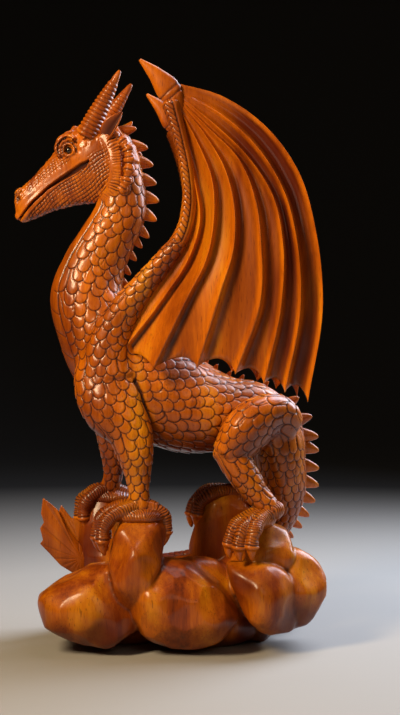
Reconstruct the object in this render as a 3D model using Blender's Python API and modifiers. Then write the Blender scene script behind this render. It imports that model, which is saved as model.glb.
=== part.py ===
"""A dragon carved, together with the rocks it grips, from one block of wood, with two black eye beads.

Metres, +Z up. The origin is on the flat underside, below the middle of the base. The dragon faces -X,
so its left side faces -Y. The free forms are written for a carving 565 mm tall, in its millimetres, and
FIGURE_HEIGHT sets how tall it really is.
"""

import math

import bmesh
import bpy
import numpy as np
from mathutils import Matrix

# Sizes of the whole figure
FIGURE_HEIGHT = 0.565
DRAWN_HEIGHT = 565.0
UNIT = FIGURE_HEIGHT / DRAWN_HEIGHT

# Sizes of the separate features, in metres
EYE_BEAD_DIAMETER = 0.0070
EYE_BEAD_GAP = 0.0003
EYE_BEAD_SHOWING = 0.0026
MOUTH_GROOVE_WIDTH = 0.0030
MOUTH_GROOVE_DEPTH = 0.0045
WING_THICKNESS = 0.0080
WING_FLUTE_DEPTH = 0.0056
WING_SCALLOP_DEPTH = 0.0120
TAIL_FIN_THICKNESS = 0.0110
NECK_SPIKE_LENGTH = 0.0130
TAIL_SPIKE_LENGTH = 0.0135
SPIKE_BASE_RADIUS = 0.0060
SPIKE_LEAN = 0.0040
SPIKE_ROOT_DEPTH = 0.005
HORN_BASE_RADIUS = 0.0108
HORN_RINGS = 14
HORN_RING_RELIEF = 0.0010
HORN_SPREAD = 0.019
CLAW_LENGTH = 0.017
TOE_RADIUS = 0.0066
SAW_SPREAD = (0.8, 0.8)
SAW_DEPTH = 0.1

# How far a loft's end domes stand out, as a share of its radius
DOME_SHARE = 0.6

# How finely the solid is made
CLAY_VOXEL = 0.0017
CLAY_TRIANGLES = 6200
JOINED_TRIANGLES = 8900
SEAM_REACHES = (0.0002, 0.0005, 0.0008)

# The spine: x, y, z, half height and half width at stations from the skull to the tail fin
SPINE = (
    (-84, 3, 499, 15, 14),
    (-80, 2, 478, 19.5, 18),
    (-79, 0, 455, 23, 21),
    (-79, 0, 430, 25, 22),
    (-92, 0, 402, 27, 24),
    (-106, 0, 374, 31, 27),
    (-112, 0, 345, 37, 32),
    (-101, 0, 313, 42, 38),
    (-80, 0, 279, 48, 43),
    (-45, 0, 251, 51, 46),
    (-10, 0, 234, 47, 46),
    (25, 0, 226, 38, 40),
    (55, 0, 220, 36, 36),
    (76, 0, 204, 28, 37),
    (80, 2, 180, 25, 34),
    (82, 6, 155, 24, 27),
    (78, 14, 130, 22, 21),
    (67, 32, 106, 19, 19),
    (46, 54, 86, 17, 17),
    (8, 68, 70, 15, 15),
    (-38, 73, 62, 14, 13),
    (-80, 68, 60, 12, 12),
    (-106, 54, 66, 10, 10),
    (-116, 43, 80, 8, 8),
)
SPINE_UP = (1, 0, 0.35)
# Each spike's half widths along and across the ridge, as shares of its base radius, from its root up
SPIKE_FORM = ((0, 1.15, 0.72), (0.42, 1.0, 0.6), (0.78, 0.62, 0.36), (1.0, 0.16, 0.12))
# The row of spikes starts on the crown, a little above the first station of the spine
CROWN = (-88, 3, 506, 13, 12)
# Each spike: how far it stands along the ridge from the crown, and its length as a share of the full one
NECK_SPIKES = (
    (3, 0.8), (16, 0.95), (31, 1.0), (47, 1.0), (65, 1.0), (77, 0.92), (88, 0.78), (97, 0.64), (113, 0.62),
    (128, 0.62), (146, 0.6), *((place, 0.4) for place in range(200, 400, 16)),
)
TAIL_SPIKES = (
    (411, 0.9), (420, 0.96), (427.5, 1.0), (435, 1.0), (455, 1.0), (468, 0.97), (481, 0.92), (495, 0.85),
    (509, 0.8), *((place, 0.75 - (place - 523) / 600) for place in range(523, 690, 15)),
)

# Legs: x, distance from the middle plane, z, half length fore and aft, half width
NEAR_FORELEG = (
    (-96, 22, 290, 22, 14),
    (-92, 34, 262, 31, 19),
    (-82, 41, 234, 31, 20),
    (-68, 43, 211, 22, 17),
    (-62, 44, 187, 16.5, 14.5),
    (-60, 45, 168, 12, 12),
    (-59, 46, 152, 9.5, 10.5),
    (-58, 46, 138, 12, 12),
)
FAR_FORELEG = (
    (-96, 22, 290, 22, 14),
    (-95, 34, 260, 29, 19),
    (-93, 41, 232, 25, 19),
    (-90, 43, 208, 18, 16),
    (-89, 45, 186, 14, 13),
    (-89, 46, 170, 11, 11.5),
    (-91, 47, 157, 9.5, 10.5),
    (-93, 48, 146, 11, 11),
)
THIGH = (
    (84, 24, 214, 22, 15),
    (69, 33, 224, 28, 19),
    (50, 41, 216, 31, 22),
    (36, 45, 201, 26, 20),
    (26, 47, 190, 17, 15),
)
SHANK = (
    (27, 46, 196, 16, 15),
    (36, 47, 180, 15.5, 14.5),
    (46, 47, 164, 14, 12.5),
    (55, 47, 151, 11.5, 10.5),
    (64, 47, 141, 10.5, 10),
    (69, 47, 134, 9, 9.5),
)

# Feet: each toe runs from the wrist or heel over the rock, and its claw carries on from its end
NEAR_FOREFOOT = (
    ((-56, 46, 140), (-72, 56, 137), (-86, 61, 130), (-92, 62, 119), (-93, 62, 108)),
    ((-56, 46, 140), (-75, 47, 139), (-91, 46, 132), (-98, 45, 120), (-99, 45, 109)),
    ((-56, 46, 140), (-72, 37, 138), (-86, 31, 131), (-92, 29, 119), (-93, 29, 108)),
    ((-60, 46, 141), (-46, 47, 138), (-37, 48, 132), (-33, 48, 122), (-33, 48, 115)),
)
FAR_FOREFOOT = (
    ((-92, 48, 147), (-106, 57, 144), (-115, 61, 137), (-119, 62, 127), (-119, 62, 118)),
    ((-92, 48, 147), (-108, 48, 145), (-119, 47, 138), (-124, 46, 127), (-124, 46, 118)),
    ((-92, 48, 147), (-106, 39, 144), (-115, 35, 137), (-119, 34, 127), (-119, 34, 118)),
    ((-92, 48, 147), (-80, 48, 143), (-71, 48, 138), (-66, 48, 129), (-66, 48, 121)),
)
NEAR_HIND_FOOT = (
    ((70, 47, 136), (60, 57, 130), (53, 66, 122), (50, 70, 112), (49, 70, 104)),
    ((70, 47, 136), (56, 53, 131), (44, 62, 123), (38, 67, 112), (37, 67, 103)),
    ((70, 47, 136), (53, 48, 132), (38, 51, 124), (30, 55, 113), (28, 55, 104)),
)
FAR_HIND_FOOT = (
    ((66, 47, 137), (40, 54, 143), (14, 60, 143), (0, 62, 133), (-3, 62, 121)),
    ((66, 47, 137), (38, 48, 144), (8, 48, 144), (-6, 48, 133), (-9, 48, 121)),
    ((66, 47, 137), (40, 42, 143), (14, 36, 143), (0, 34, 133), (-3, 34, 121)),
)

# The pad of each foot under its wrist, resting on the rock: centre and half sizes
PALMS = {
    "near_forefoot": ((-58, 48, 130), (27, 18, 9)),
    "far_forefoot": ((-92, 48, 138), (25, 17, 9)),
    "near_hind_foot": ((55, 48, 127), (18, 18, 10.5)),
    "far_hind_foot": ((38, 48, 136), (34, 16, 9)),
}
CLAW_BEND = 0.22

# The head stands at HEAD_CENTRE, tipped down and turned a little away. Its own frame is along the snout,
# up, and out to the side. Stations: how far along, top, bottom, half width
HEAD_CENTRE = (-100, 0, 475.5)
HEAD_TIP_DOWN = 33.0
HEAD_TURN = 8.0
HEAD_SHAPE = (
    (-36, 27, -6, 11),
    (-22, 34, -23, 18),
    (-8, 40, -31, 22),
    (5, 43.5, -33.5, 22),
    (16, 43, -32.5, 20),
    (26, 39, -29, 17),
    (38, 34.5, -22.5, 14.5),
    (52, 31, -16.5, 12.5),
    (66, 27.5, -12, 11.3),
    (78, 26, -9.2, 11.3),
    (85, 25.3, -8, 11),
    (91, 20.5, -6.5, 9.5),
    (98, 7, -3.5, 5.5),
)
# The mouth line also has its width, as a share of the groove's
MOUTH_LINE = (
    (5.5, 4.6, 0.3), (9, 4.2, 0.8), (14, 4.6, 1.15), (22, 5.2, 1.2), (30, 6.0, 1.1), (42, 7.2, 0.85),
    (56, 7.6, 0.75), (75, 4.8, 0.7), (97, -0.8, 0.65), (104, -2.8, 0.6),
)
EYE_PLACE = (16.4, 25.5, 17.6)
BROW = ((26, 33, 12.5), (24, 38.5, 13.5), (18, 43, 14), (11, 43.5, 15), (5, 39, 16.5), (2, 32, 18.5))
CHEEK_FRILL = (
    (-21, 22, 16), (-22, 10, 20), (-20.5, -6, 22.5), (-15, -21, 22), (-6, -30, 20), (7, -35, 15),
    (19, -34, 9),
)
NECK_RUFF = (
    (-30, 14, 15), (-36, 0, 19), (-36, -13, 22), (-30, -25, 22.5), (-18, -34.5, 22), (-4, -39, 18),
    (8, -38, 13),
)
HORN_FOOT = (-5, 28)
HORN_FOOT_SPREAD = 0.8
RINGED_SHARE = 0.82
HORN_TIPS = {-1: (-69, 62), 1: (-69.5, 55)}
HORN_WIDTHS = ((0, 1.0), (0.25, 0.93), (0.5, 0.77), (0.7, 0.58), (0.85, 0.4), (1.0, 0.2))
EAR = (
    (-17, 13, 16, 6, 5), (-25, 14.5, 20.5, 8, 4), (-33, 17, 23, 8, 3), (-41, 20, 25, 5.5, 2.4),
    (-48.5, 23.5, 26, 1.8, 1.2),
)

# Wings: x, distance from the middle plane, z. The arm also has its two half thicknesses
WING_ARM = (
    (-86, 40, 262, 24, 16),
    (-89, 37, 285, 23, 16.5),
    (-82, 39, 311, 19, 15),
    (-67, 46, 336, 14.5, 12.5),
    (-51, 53, 356, 11.5, 10.5),
    (-32, 60, 378, 9.5, 9.5),
    (-17, 66, 399, 8, 8.5),
    (-10, 71, 427, 6.8, 7.5),
    (-12, 75, 459, 6.5, 7),
    (-19, 78, 492, 6.5, 7),
    (-27, 80, 521, 8.5, 7.5),
)
WING_CLAW = (
    (-15, 80, 513, 4, 4), (-20, 80, 521, 8, 5.5), (-28, 80, 532, 11.5, 5.5), (-41, 80, 548, 7.5, 4.5),
    (-56, 80, 562, 1.6, 1.6),
)
WING_RIBS = (
    ((-24, 80, 514), (-17, 79, 484), (-12, 77, 452), (-11, 74, 424), (-20, 69, 396), (-38, 62, 368),
     (-86, 43, 302)),
    ((-22, 81, 517), (-14, 80, 484), (-5, 79, 450), (0, 76, 413), (-11, 70, 376), (-32, 62, 344),
     (-79, 44, 284)),
    ((-21, 81, 520), (-3, 84, 486), (11, 87, 450), (13, 87, 412), (6, 85, 375), (-11, 81, 341),
     (-45, 66, 272)),
    ((-20.5, 81, 523), (4, 87, 492), (23, 90, 459), (32, 92, 421), (31, 91, 383), (20, 88, 347),
     (-3, 74, 273)),
    ((-20, 81, 526), (8, 88, 497), (37, 92, 466), (52, 94, 427), (57, 94, 386), (57, 90, 340),
     (33, 78, 267)),
    ((-19.5, 81, 529), (13, 88, 501), (45, 92, 469), (68, 94, 432), (77, 94, 389), (76, 90, 335),
     (60, 78, 258)),
    ((-19, 81, 532), (17, 87, 512), (53, 91, 479), (78, 92, 438), (90, 92, 392), (94, 88, 335),
     (80, 76, 250)),
    ((-19, 81, 540), (17, 86, 529), (62, 88, 498), (93, 89, 454), (108, 88, 402), (115, 84, 335),
     (102, 72, 241)),
)
WING_HEM_NOTCH = (0.1, 0.9, 1.0, 1.0, 0.85, 0.8, 0.95)
WING_HOLLOW = (0.35, 0.8, 1.0, 1.0, 1.0, 0.95, 1.0)

# The tail fin: a toothed leaf. Points from its root up one edge to the tip and down the other
FIN_FRONT_LEAF = (
    (-106, 60), (-118, 54), (-130, 62), (-143, 70), (-156, 84), (-164, 92), (-161, 96), (-164, 108),
    (-160, 114), (-163, 123), (-161, 139), (-152, 132), (-146, 127), (-141, 114), (-133, 104),
    (-122, 90), (-108, 78),
)
FIN_BACK_LEAF = (
    (-104, 66), (-120, 78), (-136, 104), (-147, 120), (-143, 131), (-138, 124), (-133, 118), (-125, 115),
    (-114, 104), (-104, 84),
)
FIN_SETBACK = 34.0
FIN_BACK_SETBACK = 41.0

# Rocks: centre, half sizes, heading, tip of the top towards +X, and a seed for the facets
ROCKS = {
    "far_forefoot_rock": ((-96, 46, 66), (33, 27, 82), 0, -4, 6),
    "far_hind_rock": ((22, 46, 68), (38, 28, 74), 0, 4, 7),
    "middle_rock": ((4, -2, 36), (64, 46, 48), 10, 0, 15),
    "left_middle_rock": ((-70, 8, 32), (52, 46, 46), 0, 0, 21),
    "right_middle_rock": ((42, 10, 44), (40, 40, 46), 0, 0, 22),
    "back_left_boulder": ((-74, 46, 30), (54, 40, 38), -12, 6, 17),
    "back_middle_boulder": ((-10, 50, 34), (44, 38, 42), 0, 0, 31),
    "back_right_boulder": ((46, 46, 42), (54, 42, 40), 12, -6, 19),
}
ROCK_FACETS = 22
ROCK_ROUNDNESS = 9.0
ROCK_EDGE = 16.0

# The boulders that show most, cut to facets: centre, then how each facet faces and how far off it lies.
# The first angle runs from +X up towards +Z, and the second leans the facet towards the viewer's side
CUT_ROCKS = {
    "left_boulder": ((-106, -42, 44), (
        (120, 0, 33), (92, 0, 40), (180, 0, 52), (213, 0, 47), (243, 0, 39), (264, 0, 38), (300, 0, 42),
        (0, 0, 50),
        (45, 0, 50),
        (112, 40, 36), (250, 52, 41), (175, 48, 48), (20, 50, 44), (62, 62, 38), (0, 88, 42),
        (0, -90, 40), (90, -45, 45), (180, -45, 50), (270, -45, 46), (0, -45, 50),
    )),
    "front_boulder": ((-14, -50, 47), (
        (145, 0, 45), (76, 0, 37), (49, 0, 34), (35, 0, 38), (-23, 0, 54), (-64, 0, 45), (-88, 0, 43),
        (258, 0, 44),
        (212, 0, 50), (84, 42, 36), (45, 50, 38), (268, 48, 41), (200, 45, 50), (0, 86, 39), (320, 40, 50),
        (0, -90, 42), (90, -45, 44), (270, -50, 50), (0, -45, 54), (180, -45, 54),
    )),
    "forefoot_rock": ((-62, -56, 86), (
        (106, 0, 48), (36, 0, 44), (-10, 0, 26), (-20, 0, 23), (-38, 0, 28), (270, 0, 47), (205, 0, 29),
        (192, 0, 25),
        (169, 0, 24), (88, 40, 34), (20, 45, 28), (160, 45, 27), (290, 50, 38), (240, 45, 38), (0, 90, 33),
        (0, -90, 30), (90, -45, 34), (0, -45, 26), (180, -45, 27),
    )),
    "right_front_boulder": ((58, -50, 53), (
        (194, 0, 24), (206, 0, 22), (223, 0, 24), (250, 0, 34), (272, 0, 35), (90, 0, 34), (45, 0, 36),
        (0, 0, 34),
        (100, 38, 35), (190, 48, 27), (350, 45, 32), (50, 55, 33), (262, 50, 34), (0, 86, 35),
        (0, -90, 34), (90, -45, 36), (0, -45, 34), (180, -45, 30),
    )),
    "right_boulder": ((95, -28, 55), (
        (92, 0, 43), (56, 0, 36), (28, 0, 31), (2, 0, 28), (-22, 0, 26), (-48, 0, 28), (-68, 0, 33),
        (270, 0, 42),
        (180, 0, 34), (130, 50, 36), (40, 48, 31), (335, 48, 29), (250, 55, 34), (200, 40, 34), (0, 84, 36),
        (0, -90, 44), (90, -45, 44), (0, -45, 36), (180, -45, 36),
    )),
    "heel_rock": ((69, -36, 85), (
        (112, 0, 40), (52, 0, 32), (15, 0, 23), (-8, 0, 23), (180, 0, 26), (150, 0, 31), (270, 0, 44),
        (60, 48, 25), (125, 50, 27), (330, 50, 24), (215, 45, 28), (0, 88, 23),
        (0, -90, 34), (90, -45, 36), (0, -45, 30), (180, -45, 30),
    )),
}

# Colours of the finish
WOOD = (0.42, 0.14, 0.025, 1)
BEAD = (0.005, 0.005, 0.006, 1)

NEAR, FAR = -1, 1


def clear_scene():
    for thing in list(bpy.data.objects):
        bpy.data.objects.remove(thing, do_unlink=True)


def new_collection(name):
    made = bpy.data.collections.new(name)
    bpy.context.scene.collection.children.link(made)
    return made


def finish_material(name, colour, roughness, coat):
    made = bpy.data.materials.new(name)
    made.use_nodes = True
    shader = made.node_tree.nodes["Principled BSDF"]
    shader.inputs["Base Color"].default_value = colour
    shader.inputs["Roughness"].default_value = roughness
    shader.inputs["Coat Weight"].default_value = coat
    return made


def smooth_rows(stations, count):
    """Rows evenly spaced on a smooth curve through the stations, every column carried along."""
    p = np.asarray(stations, float)
    knots = np.r_[0, np.cumsum(np.linalg.norm(np.diff(p[:, :3], axis=0), axis=1))]
    slope = np.gradient(p, knots, axis=0)
    t = np.linspace(0, knots[-1], count)
    i = np.clip(np.searchsorted(knots, t, side="right") - 1, 0, len(knots) - 2)
    span = (knots[i + 1] - knots[i])[:, None]
    u = (t - knots[i])[:, None] / span
    return (
        (2 * u**3 - 3 * u**2 + 1) * p[i]
        + (u**3 - 2 * u**2 + u) * span * slope[i]
        + (3 * u**2 - 2 * u**3) * p[i + 1]
        + (u**3 - u**2) * span * slope[i + 1]
    )


def unit_rows(v):
    return v / np.linalg.norm(v, axis=1, keepdims=True)


def carried_frame(centres, up):
    """Tangent, up and side at each centre, the up vector carried along the path without twisting."""
    tangents = unit_rows(np.gradient(centres, axis=0))
    up = np.asarray(up, float)
    ups = []
    for tangent in tangents:
        up = up - tangent * (up @ tangent)
        up = up / np.linalg.norm(up)
        ups.append(up)
    ups = np.array(ups)
    return tangents, ups, np.cross(tangents, ups)


def loft_rings(rows, up, around, domes=(75, 45, 20)):
    """Rings of points through rows of x, y, z, half height and half width, domed over at both ends."""
    centres, high, wide = rows[:, :3], rows[:, 3], rows[:, 4]
    tangents, ups, sides = carried_frame(centres, up)
    angles = np.linspace(0, 2 * math.pi, around, endpoint=False)
    c, s = np.cos(angles), np.sin(angles)
    rings = []
    dome = [math.radians(a) for a in domes]
    plan = [(0, -1, a) for a in dome]
    plan += [(i, 0, 0.0) for i in range(len(rows))]
    plan += [(len(rows) - 1, 1, a) for a in reversed(dome)]
    for i, end, a in plan:
        reach = end * math.sin(a) * DOME_SHARE * min(high[i], wide[i])
        centre = centres[i] + tangents[i] * reach
        shrink = math.cos(a)
        ring = centre + shrink * (np.outer(c * high[i], ups[i]) + np.outer(s * wide[i], sides[i]))
        rings.append(ring)
    return np.array(rings)


def skin(rings):
    """Points and faces of a closed tube over the rings, with a fan at each end."""
    count, around = rings.shape[:2]
    points = list(map(tuple, rings.reshape(-1, 3)))
    points += [tuple(rings[0].mean(axis=0)), tuple(rings[-1].mean(axis=0))]
    first, last = count * around, count * around + 1
    faces = []
    for i in range(count - 1):
        for j in range(around):
            k = (j + 1) % around
            faces.append((i * around + j, i * around + k, (i + 1) * around + k, (i + 1) * around + j))
    top = (count - 1) * around
    for j in range(around):
        k = (j + 1) % around
        faces.append((first, k, j))
        faces.append((last, top + j, top + k))
    return points, faces


def mesh_object(name, points, faces, collection):
    """A mesh object from points in figure units, its faces turned outwards."""
    mesh = bpy.data.meshes.new(name)
    mesh.from_pydata([tuple(c * UNIT for c in p) for p in points], [], faces)
    made = bpy.data.objects.new(name, mesh)
    collection.objects.link(made)
    face_out(mesh)
    return made


def face_out(mesh):
    """Turns a closed mesh whose volume comes out negative."""
    mesh.calc_loop_triangles()
    volume = 0.0
    for triangle in mesh.loop_triangles:
        a, b, c = (mesh.vertices[v].co for v in triangle.vertices)
        volume += a.dot(b.cross(c))
    if volume < 0:
        mesh.flip_normals()


def tube(name, stations, up, collection, rows=24, around=20):
    rings = loft_rings(smooth_rows(stations, rows), up, around)
    return mesh_object(name, *skin(rings), collection)


def on_side(stations, side):
    """The stations with their distance from the middle plane made a place on one side."""
    return [(s[0], s[1] * side, *s[2:]) for s in stations]


def head_axes():
    """The head's forward, up and left directions."""
    turn, tip = math.radians(HEAD_TURN), math.radians(HEAD_TIP_DOWN)
    level = np.array((-math.cos(turn), math.sin(turn), 0))
    left = np.array((-math.sin(turn), -math.cos(turn), 0))
    rise = np.array((0, 0, 1))
    forward = math.cos(tip) * level - math.sin(tip) * rise
    up = math.sin(tip) * level + math.cos(tip) * rise
    return forward, up, left


def head_point(along, up, out):
    forward, rise, left = head_axes()
    return np.array(HEAD_CENTRE) + along * forward + up * rise + out * left


def head_width(along):
    """Half width of the head at a distance along the snout."""
    rows = np.array(HEAD_SHAPE)
    return float(np.interp(along, rows[:, 0], rows[:, 3]))


def make_head(collection):
    forward, up, left = head_axes()
    shape = np.array(HEAD_SHAPE)
    shape = smooth_rows(np.c_[shape[:, 0], shape[:, 1:3].mean(axis=1), shape], 34)
    rings = []
    angles = np.linspace(0, 2 * math.pi, 24, endpoint=False)
    for along, middle, _, top, bottom, width in shape:
        high = (top - bottom) / 2
        c = np.sign(np.cos(angles)) * np.abs(np.cos(angles)) ** 0.85
        s = np.sign(np.sin(angles)) * np.abs(np.sin(angles)) ** 0.85
        centre = head_point(along, middle, 0)
        rings.append(centre + np.outer(c * high, up) + np.outer(s * width, left))
    return mesh_object("head_clay", *skin(np.array(rings)), collection)


def head_ridge(name, line, side, radii, collection):
    """A raised ridge along a line of along, up and out in the head's frame."""
    places = [(*head_point(a, u, o * side), *radii) for a, u, o in line]
    return tube(name, places, head_axes()[1], collection, rows=14, around=10)


def make_ears(collection):
    for side in (NEAR, FAR):
        places = [(*head_point(a, u, -o * side), h, w) for a, u, o, h, w in EAR]
        tube(f"ear_{side}", places, head_axes()[1], collection, rows=10, around=12)


def make_horn(side, collection, rows_per_ring=2, around=10):
    """A ringed horn: its radius shrinks to the tip and swells at each ring."""
    out = HORN_SPREAD / UNIT
    foot = head_point(*HORN_FOOT, -side * out * HORN_FOOT_SPREAD)
    along = head_point(*HORN_TIPS[side], -side * out) - foot
    places = np.append(np.linspace(0, RINGED_SHARE, HORN_RINGS * rows_per_ring + 1), (0.88, 0.94, 0.985))
    stations = np.array(HORN_WIDTHS)
    rows = []
    for t in places:
        radius = HORN_BASE_RADIUS / UNIT * np.interp(t, stations[:, 0], stations[:, 1])
        if t <= RINGED_SHARE:
            radius += HORN_RING_RELIEF / UNIT * -math.cos(2 * math.pi * HORN_RINGS * t / RINGED_SHARE)
        rows.append((*(foot + along * t), radius, radius))
    rings = loft_rings(np.array(rows), head_axes()[0], around, domes=(55,))
    return mesh_object(f"horn_{side}", *skin(rings), collection)


def rock_points(centre, half_sizes, heading, tip, seed, rows, around):
    """Rings of a boulder: a rounded polyhedron, the soft meeting of flat facets in seeded directions."""
    dice = np.random.default_rng(seed)
    normals = unit_rows(dice.normal(size=(ROCK_FACETS, 3)))
    reach = dice.uniform(0.86, 1.06, ROCK_FACETS)
    polar = np.linspace(0.04, math.pi - 0.04, rows)
    angle = np.linspace(0, 2 * math.pi, around, endpoint=False)
    z = np.cos(polar)[:, None] * np.ones(around)
    x = np.sin(polar)[:, None] * np.cos(angle)
    y = np.sin(polar)[:, None] * np.sin(angle)
    directions = np.stack([x, y, z], axis=-1)
    facing = np.clip(directions @ normals.T, 0, None) / reach
    radius = (facing**ROCK_ROUNDNESS).sum(axis=-1) ** (-1 / ROCK_ROUNDNESS)
    radius = np.clip(radius, 0.8, 1.12)[..., None]
    body = directions * radius * np.array(half_sizes, float)
    h, t = math.radians(heading), math.radians(tip)
    turn = np.array(((math.cos(h), math.sin(h), 0), (-math.sin(h), math.cos(h), 0), (0, 0, 1)))
    lean = np.array(((math.cos(t), 0, -math.sin(t)), (0, 1, 0), (math.sin(t), 0, math.cos(t))))
    return body @ lean @ turn + np.array(centre, float)


def cut_rock_points(centre, facets, rows, around):
    """Rings of a boulder whose facets are given one by one, their meetings softened."""
    angles, leans, reach = np.array(facets, float).T
    angles, leans = np.radians(angles), np.radians(leans)
    normals = np.c_[np.cos(leans) * np.cos(angles), -np.sin(leans), np.cos(leans) * np.sin(angles)]
    polar = np.linspace(0.03, math.pi - 0.03, rows)
    angle = np.linspace(0, 2 * math.pi, around, endpoint=False)
    directions = np.stack([
        np.sin(polar)[:, None] * np.cos(angle),
        np.sin(polar)[:, None] * np.sin(angle),
        np.cos(polar)[:, None] * np.ones(around),
    ], axis=-1)
    facing = np.clip(directions @ normals.T, 0, None) / reach
    radius = (facing**ROCK_EDGE).sum(axis=-1) ** (-1 / ROCK_EDGE)
    return directions * radius[..., None] + np.array(centre, float)


def make_rocks(collection):
    for name, rock in ROCKS.items():
        mesh_object(name, *skin(rock_points(*rock, rows=18, around=26)), collection)
    for name, rock in CUT_ROCKS.items():
        mesh_object(name, *skin(cut_rock_points(*rock, rows=28, around=40)), collection)


def make_claw(name, toe, length, collection):
    """A claw that carries on from the end of a toe, curving down."""
    toe = np.array(toe, float)
    heading = toe[-1] - toe[-2]
    heading = heading / np.linalg.norm(heading)
    back = np.array((toe[0, 0] - toe[-1, 0], toe[0, 1] - toe[-1, 1], 0))
    back = back / np.linalg.norm(back)
    rows = []
    for t in np.linspace(0, 1, 7):
        way = heading * t + back * CLAW_BEND * t**2
        radius = TOE_RADIUS / UNIT * (0.92 * (1 - t) ** 0.7 + 0.16)
        rows.append((*(toe[-1] - heading * 3 + way * length / UNIT), radius, radius * 0.85))
    return mesh_object(name, *skin(loft_rings(np.array(rows), (1, 0, 0), 10)), collection)


def make_foot(name, toes, side, collection):
    """A foot: its toes and claws, and the pad under the wrist."""
    for number, toe in enumerate(toes):
        toe = [(x, y * side, z) for x, y, z in toe]
        sizes = np.linspace(1.25, 0.95, len(toe)) * TOE_RADIUS / UNIT
        stations = [(*p, r, r) for p, r in zip(toe, sizes)]
        tube(f"{name}_toe_{number}", stations, (0, 0, 1), collection, rows=16, around=12)
        make_claw(f"{name}_claw_{number}", toe, CLAW_LENGTH, collection)
    centre, half_sizes = PALMS[name]
    place = Matrix.Translation(np.array(centre) * (1, side, 1) * UNIT)
    pad = bmesh.new()
    bmesh.ops.create_uvsphere(pad, u_segments=18, v_segments=11, radius=UNIT)
    pad.transform(place @ Matrix.Diagonal((*half_sizes, 1)))
    from_bmesh(f"{name}_palm", pad, collection)


def make_legs(collection):
    upright = (1, 0, 0)
    tube("near_foreleg", on_side(NEAR_FORELEG, NEAR), upright, collection)
    tube("far_foreleg", on_side(FAR_FORELEG, FAR), upright, collection)
    for side in (NEAR, FAR):
        tube(f"thigh_{side}", on_side(THIGH, side), upright, collection)
        tube(f"shank_{side}", on_side(SHANK, side), upright, collection)
    make_foot("near_forefoot", NEAR_FOREFOOT, NEAR, collection)
    make_foot("far_forefoot", FAR_FOREFOOT, FAR, collection)
    make_foot("near_hind_foot", NEAR_HIND_FOOT, NEAR, collection)
    make_foot("far_hind_foot", FAR_HIND_FOOT, FAR, collection)


def wing_sheet(across, down):
    """Grid of points on a wing's outer face, for one side of the body, and how far each is from a rib.

    across runs over the ribs, from the arm to the trailing edge, and down from the wrist to the hem.
    """
    ribs = np.array([smooth_rows(rib, down) for rib in WING_RIBS])
    number = np.linspace(0, len(WING_RIBS) - 1, across)
    sheet = np.empty((across, down, 3))
    for j in range(down):
        knots = np.arange(len(WING_RIBS), dtype=float)
        for axis in range(3):
            slope = np.gradient(ribs[:, j, axis])
            i = np.clip(number.astype(int), 0, len(knots) - 2)
            u = number - i
            a, b = ribs[i, j, axis], ribs[i + 1, j, axis]
            sheet[:, j, axis] = (
                (2 * u**3 - 3 * u**2 + 1) * a
                + (u**3 - 2 * u**2 + u) * slope[i]
                + (3 * u**2 - 2 * u**3) * b
                + (u**3 - u**2) * slope[i + 1]
            )
    return sheet, number


def make_wing(side, collection, across_per_rib=3, down=11):
    """A fluted wing: sharp ribs, hollows between them, and a hem cut in scallops from rib to rib."""
    across = (len(WING_RIBS) - 1) * across_per_rib + 1
    sheet, number = wing_sheet(across, 60)
    gap = np.clip(number.astype(int), 0, len(WING_RIBS) - 2)
    arch = np.abs(np.sin(math.pi * number)) ** 0.7
    run = np.linspace(0, 1, down)
    grid = np.empty((across, down, 3))
    for i in range(across):
        column = sheet[i]
        length = np.linalg.norm(np.diff(column, axis=0), axis=1).sum()
        stop = 1 - arch[i] * WING_HEM_NOTCH[gap[i]] * WING_SCALLOP_DEPTH / UNIT / length
        places = run * stop * (len(column) - 1)
        for axis in range(3):
            grid[i, :, axis] = np.interp(places, np.arange(len(column)), column[:, axis])
    hollow = arch * np.array(WING_HOLLOW)[gap]
    depth = WING_FLUTE_DEPTH / UNIT * np.sin(np.clip(run * 3, 0, 1) * math.pi / 2)
    grid[:, :, 1] -= hollow[:, None] * depth[None, :]
    inner = grid.copy()
    inner[:, :, 1] -= WING_THICKNESS / UNIT
    return closed_slab(f"wing_{side}", grid, inner, side, collection)


def closed_slab(name, outer, inner, side, collection):
    """A closed body between two grids of points, their borders joined."""
    rows, columns = outer.shape[:2]
    points = np.concatenate([outer.reshape(-1, 3), inner.reshape(-1, 3)])
    points = points * np.array((1, side, 1))
    back = rows * columns
    faces = []
    for i in range(rows - 1):
        for j in range(columns - 1):
            a, b = i * columns + j, i * columns + j + 1
            c, d = b + columns, a + columns
            faces.append((a, b, c, d))
            faces.append((back + d, back + c, back + b, back + a))
    border = [i * columns for i in range(rows)]
    border += [(rows - 1) * columns + j for j in range(1, columns)]
    border += [i * columns + columns - 1 for i in range(rows - 2, -1, -1)]
    border += list(range(columns - 2, 0, -1))
    for a, b in zip(border, border[1:] + border[:1]):
        faces.append((a, b, back + b, back + a))
    return mesh_object(name, points, faces, collection)


def make_wing_arms(collection):
    for side in (NEAR, FAR):
        tube(f"wing_arm_{side}", on_side(WING_ARM, side), (1, 0, 0), collection, rows=40, around=16)
        tube(f"wing_claw_{side}", on_side(WING_CLAW, side), (1, 0, 0), collection, rows=12, around=12)


def make_leaf(name, outline, setback, collection):
    """One leaf of the tail fin: a flat outline given a thickness."""
    count = len(outline)
    half = TAIL_FIN_THICKNESS / UNIT / 2
    points = [(x, setback + y, z) for y in (-half, half) for x, z in outline]
    faces = [tuple(range(count)), tuple(range(2 * count - 1, count - 1, -1))]
    faces += [(i, i + count, (i + 1) % count + count, (i + 1) % count) for i in range(count)]
    return mesh_object(name, points, faces, collection)


def make_tail_fin(collection):
    make_leaf("front_leaf", FIN_FRONT_LEAF, FIN_SETBACK, collection)
    make_leaf("back_leaf", FIN_BACK_LEAF, FIN_BACK_SETBACK, collection)


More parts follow.
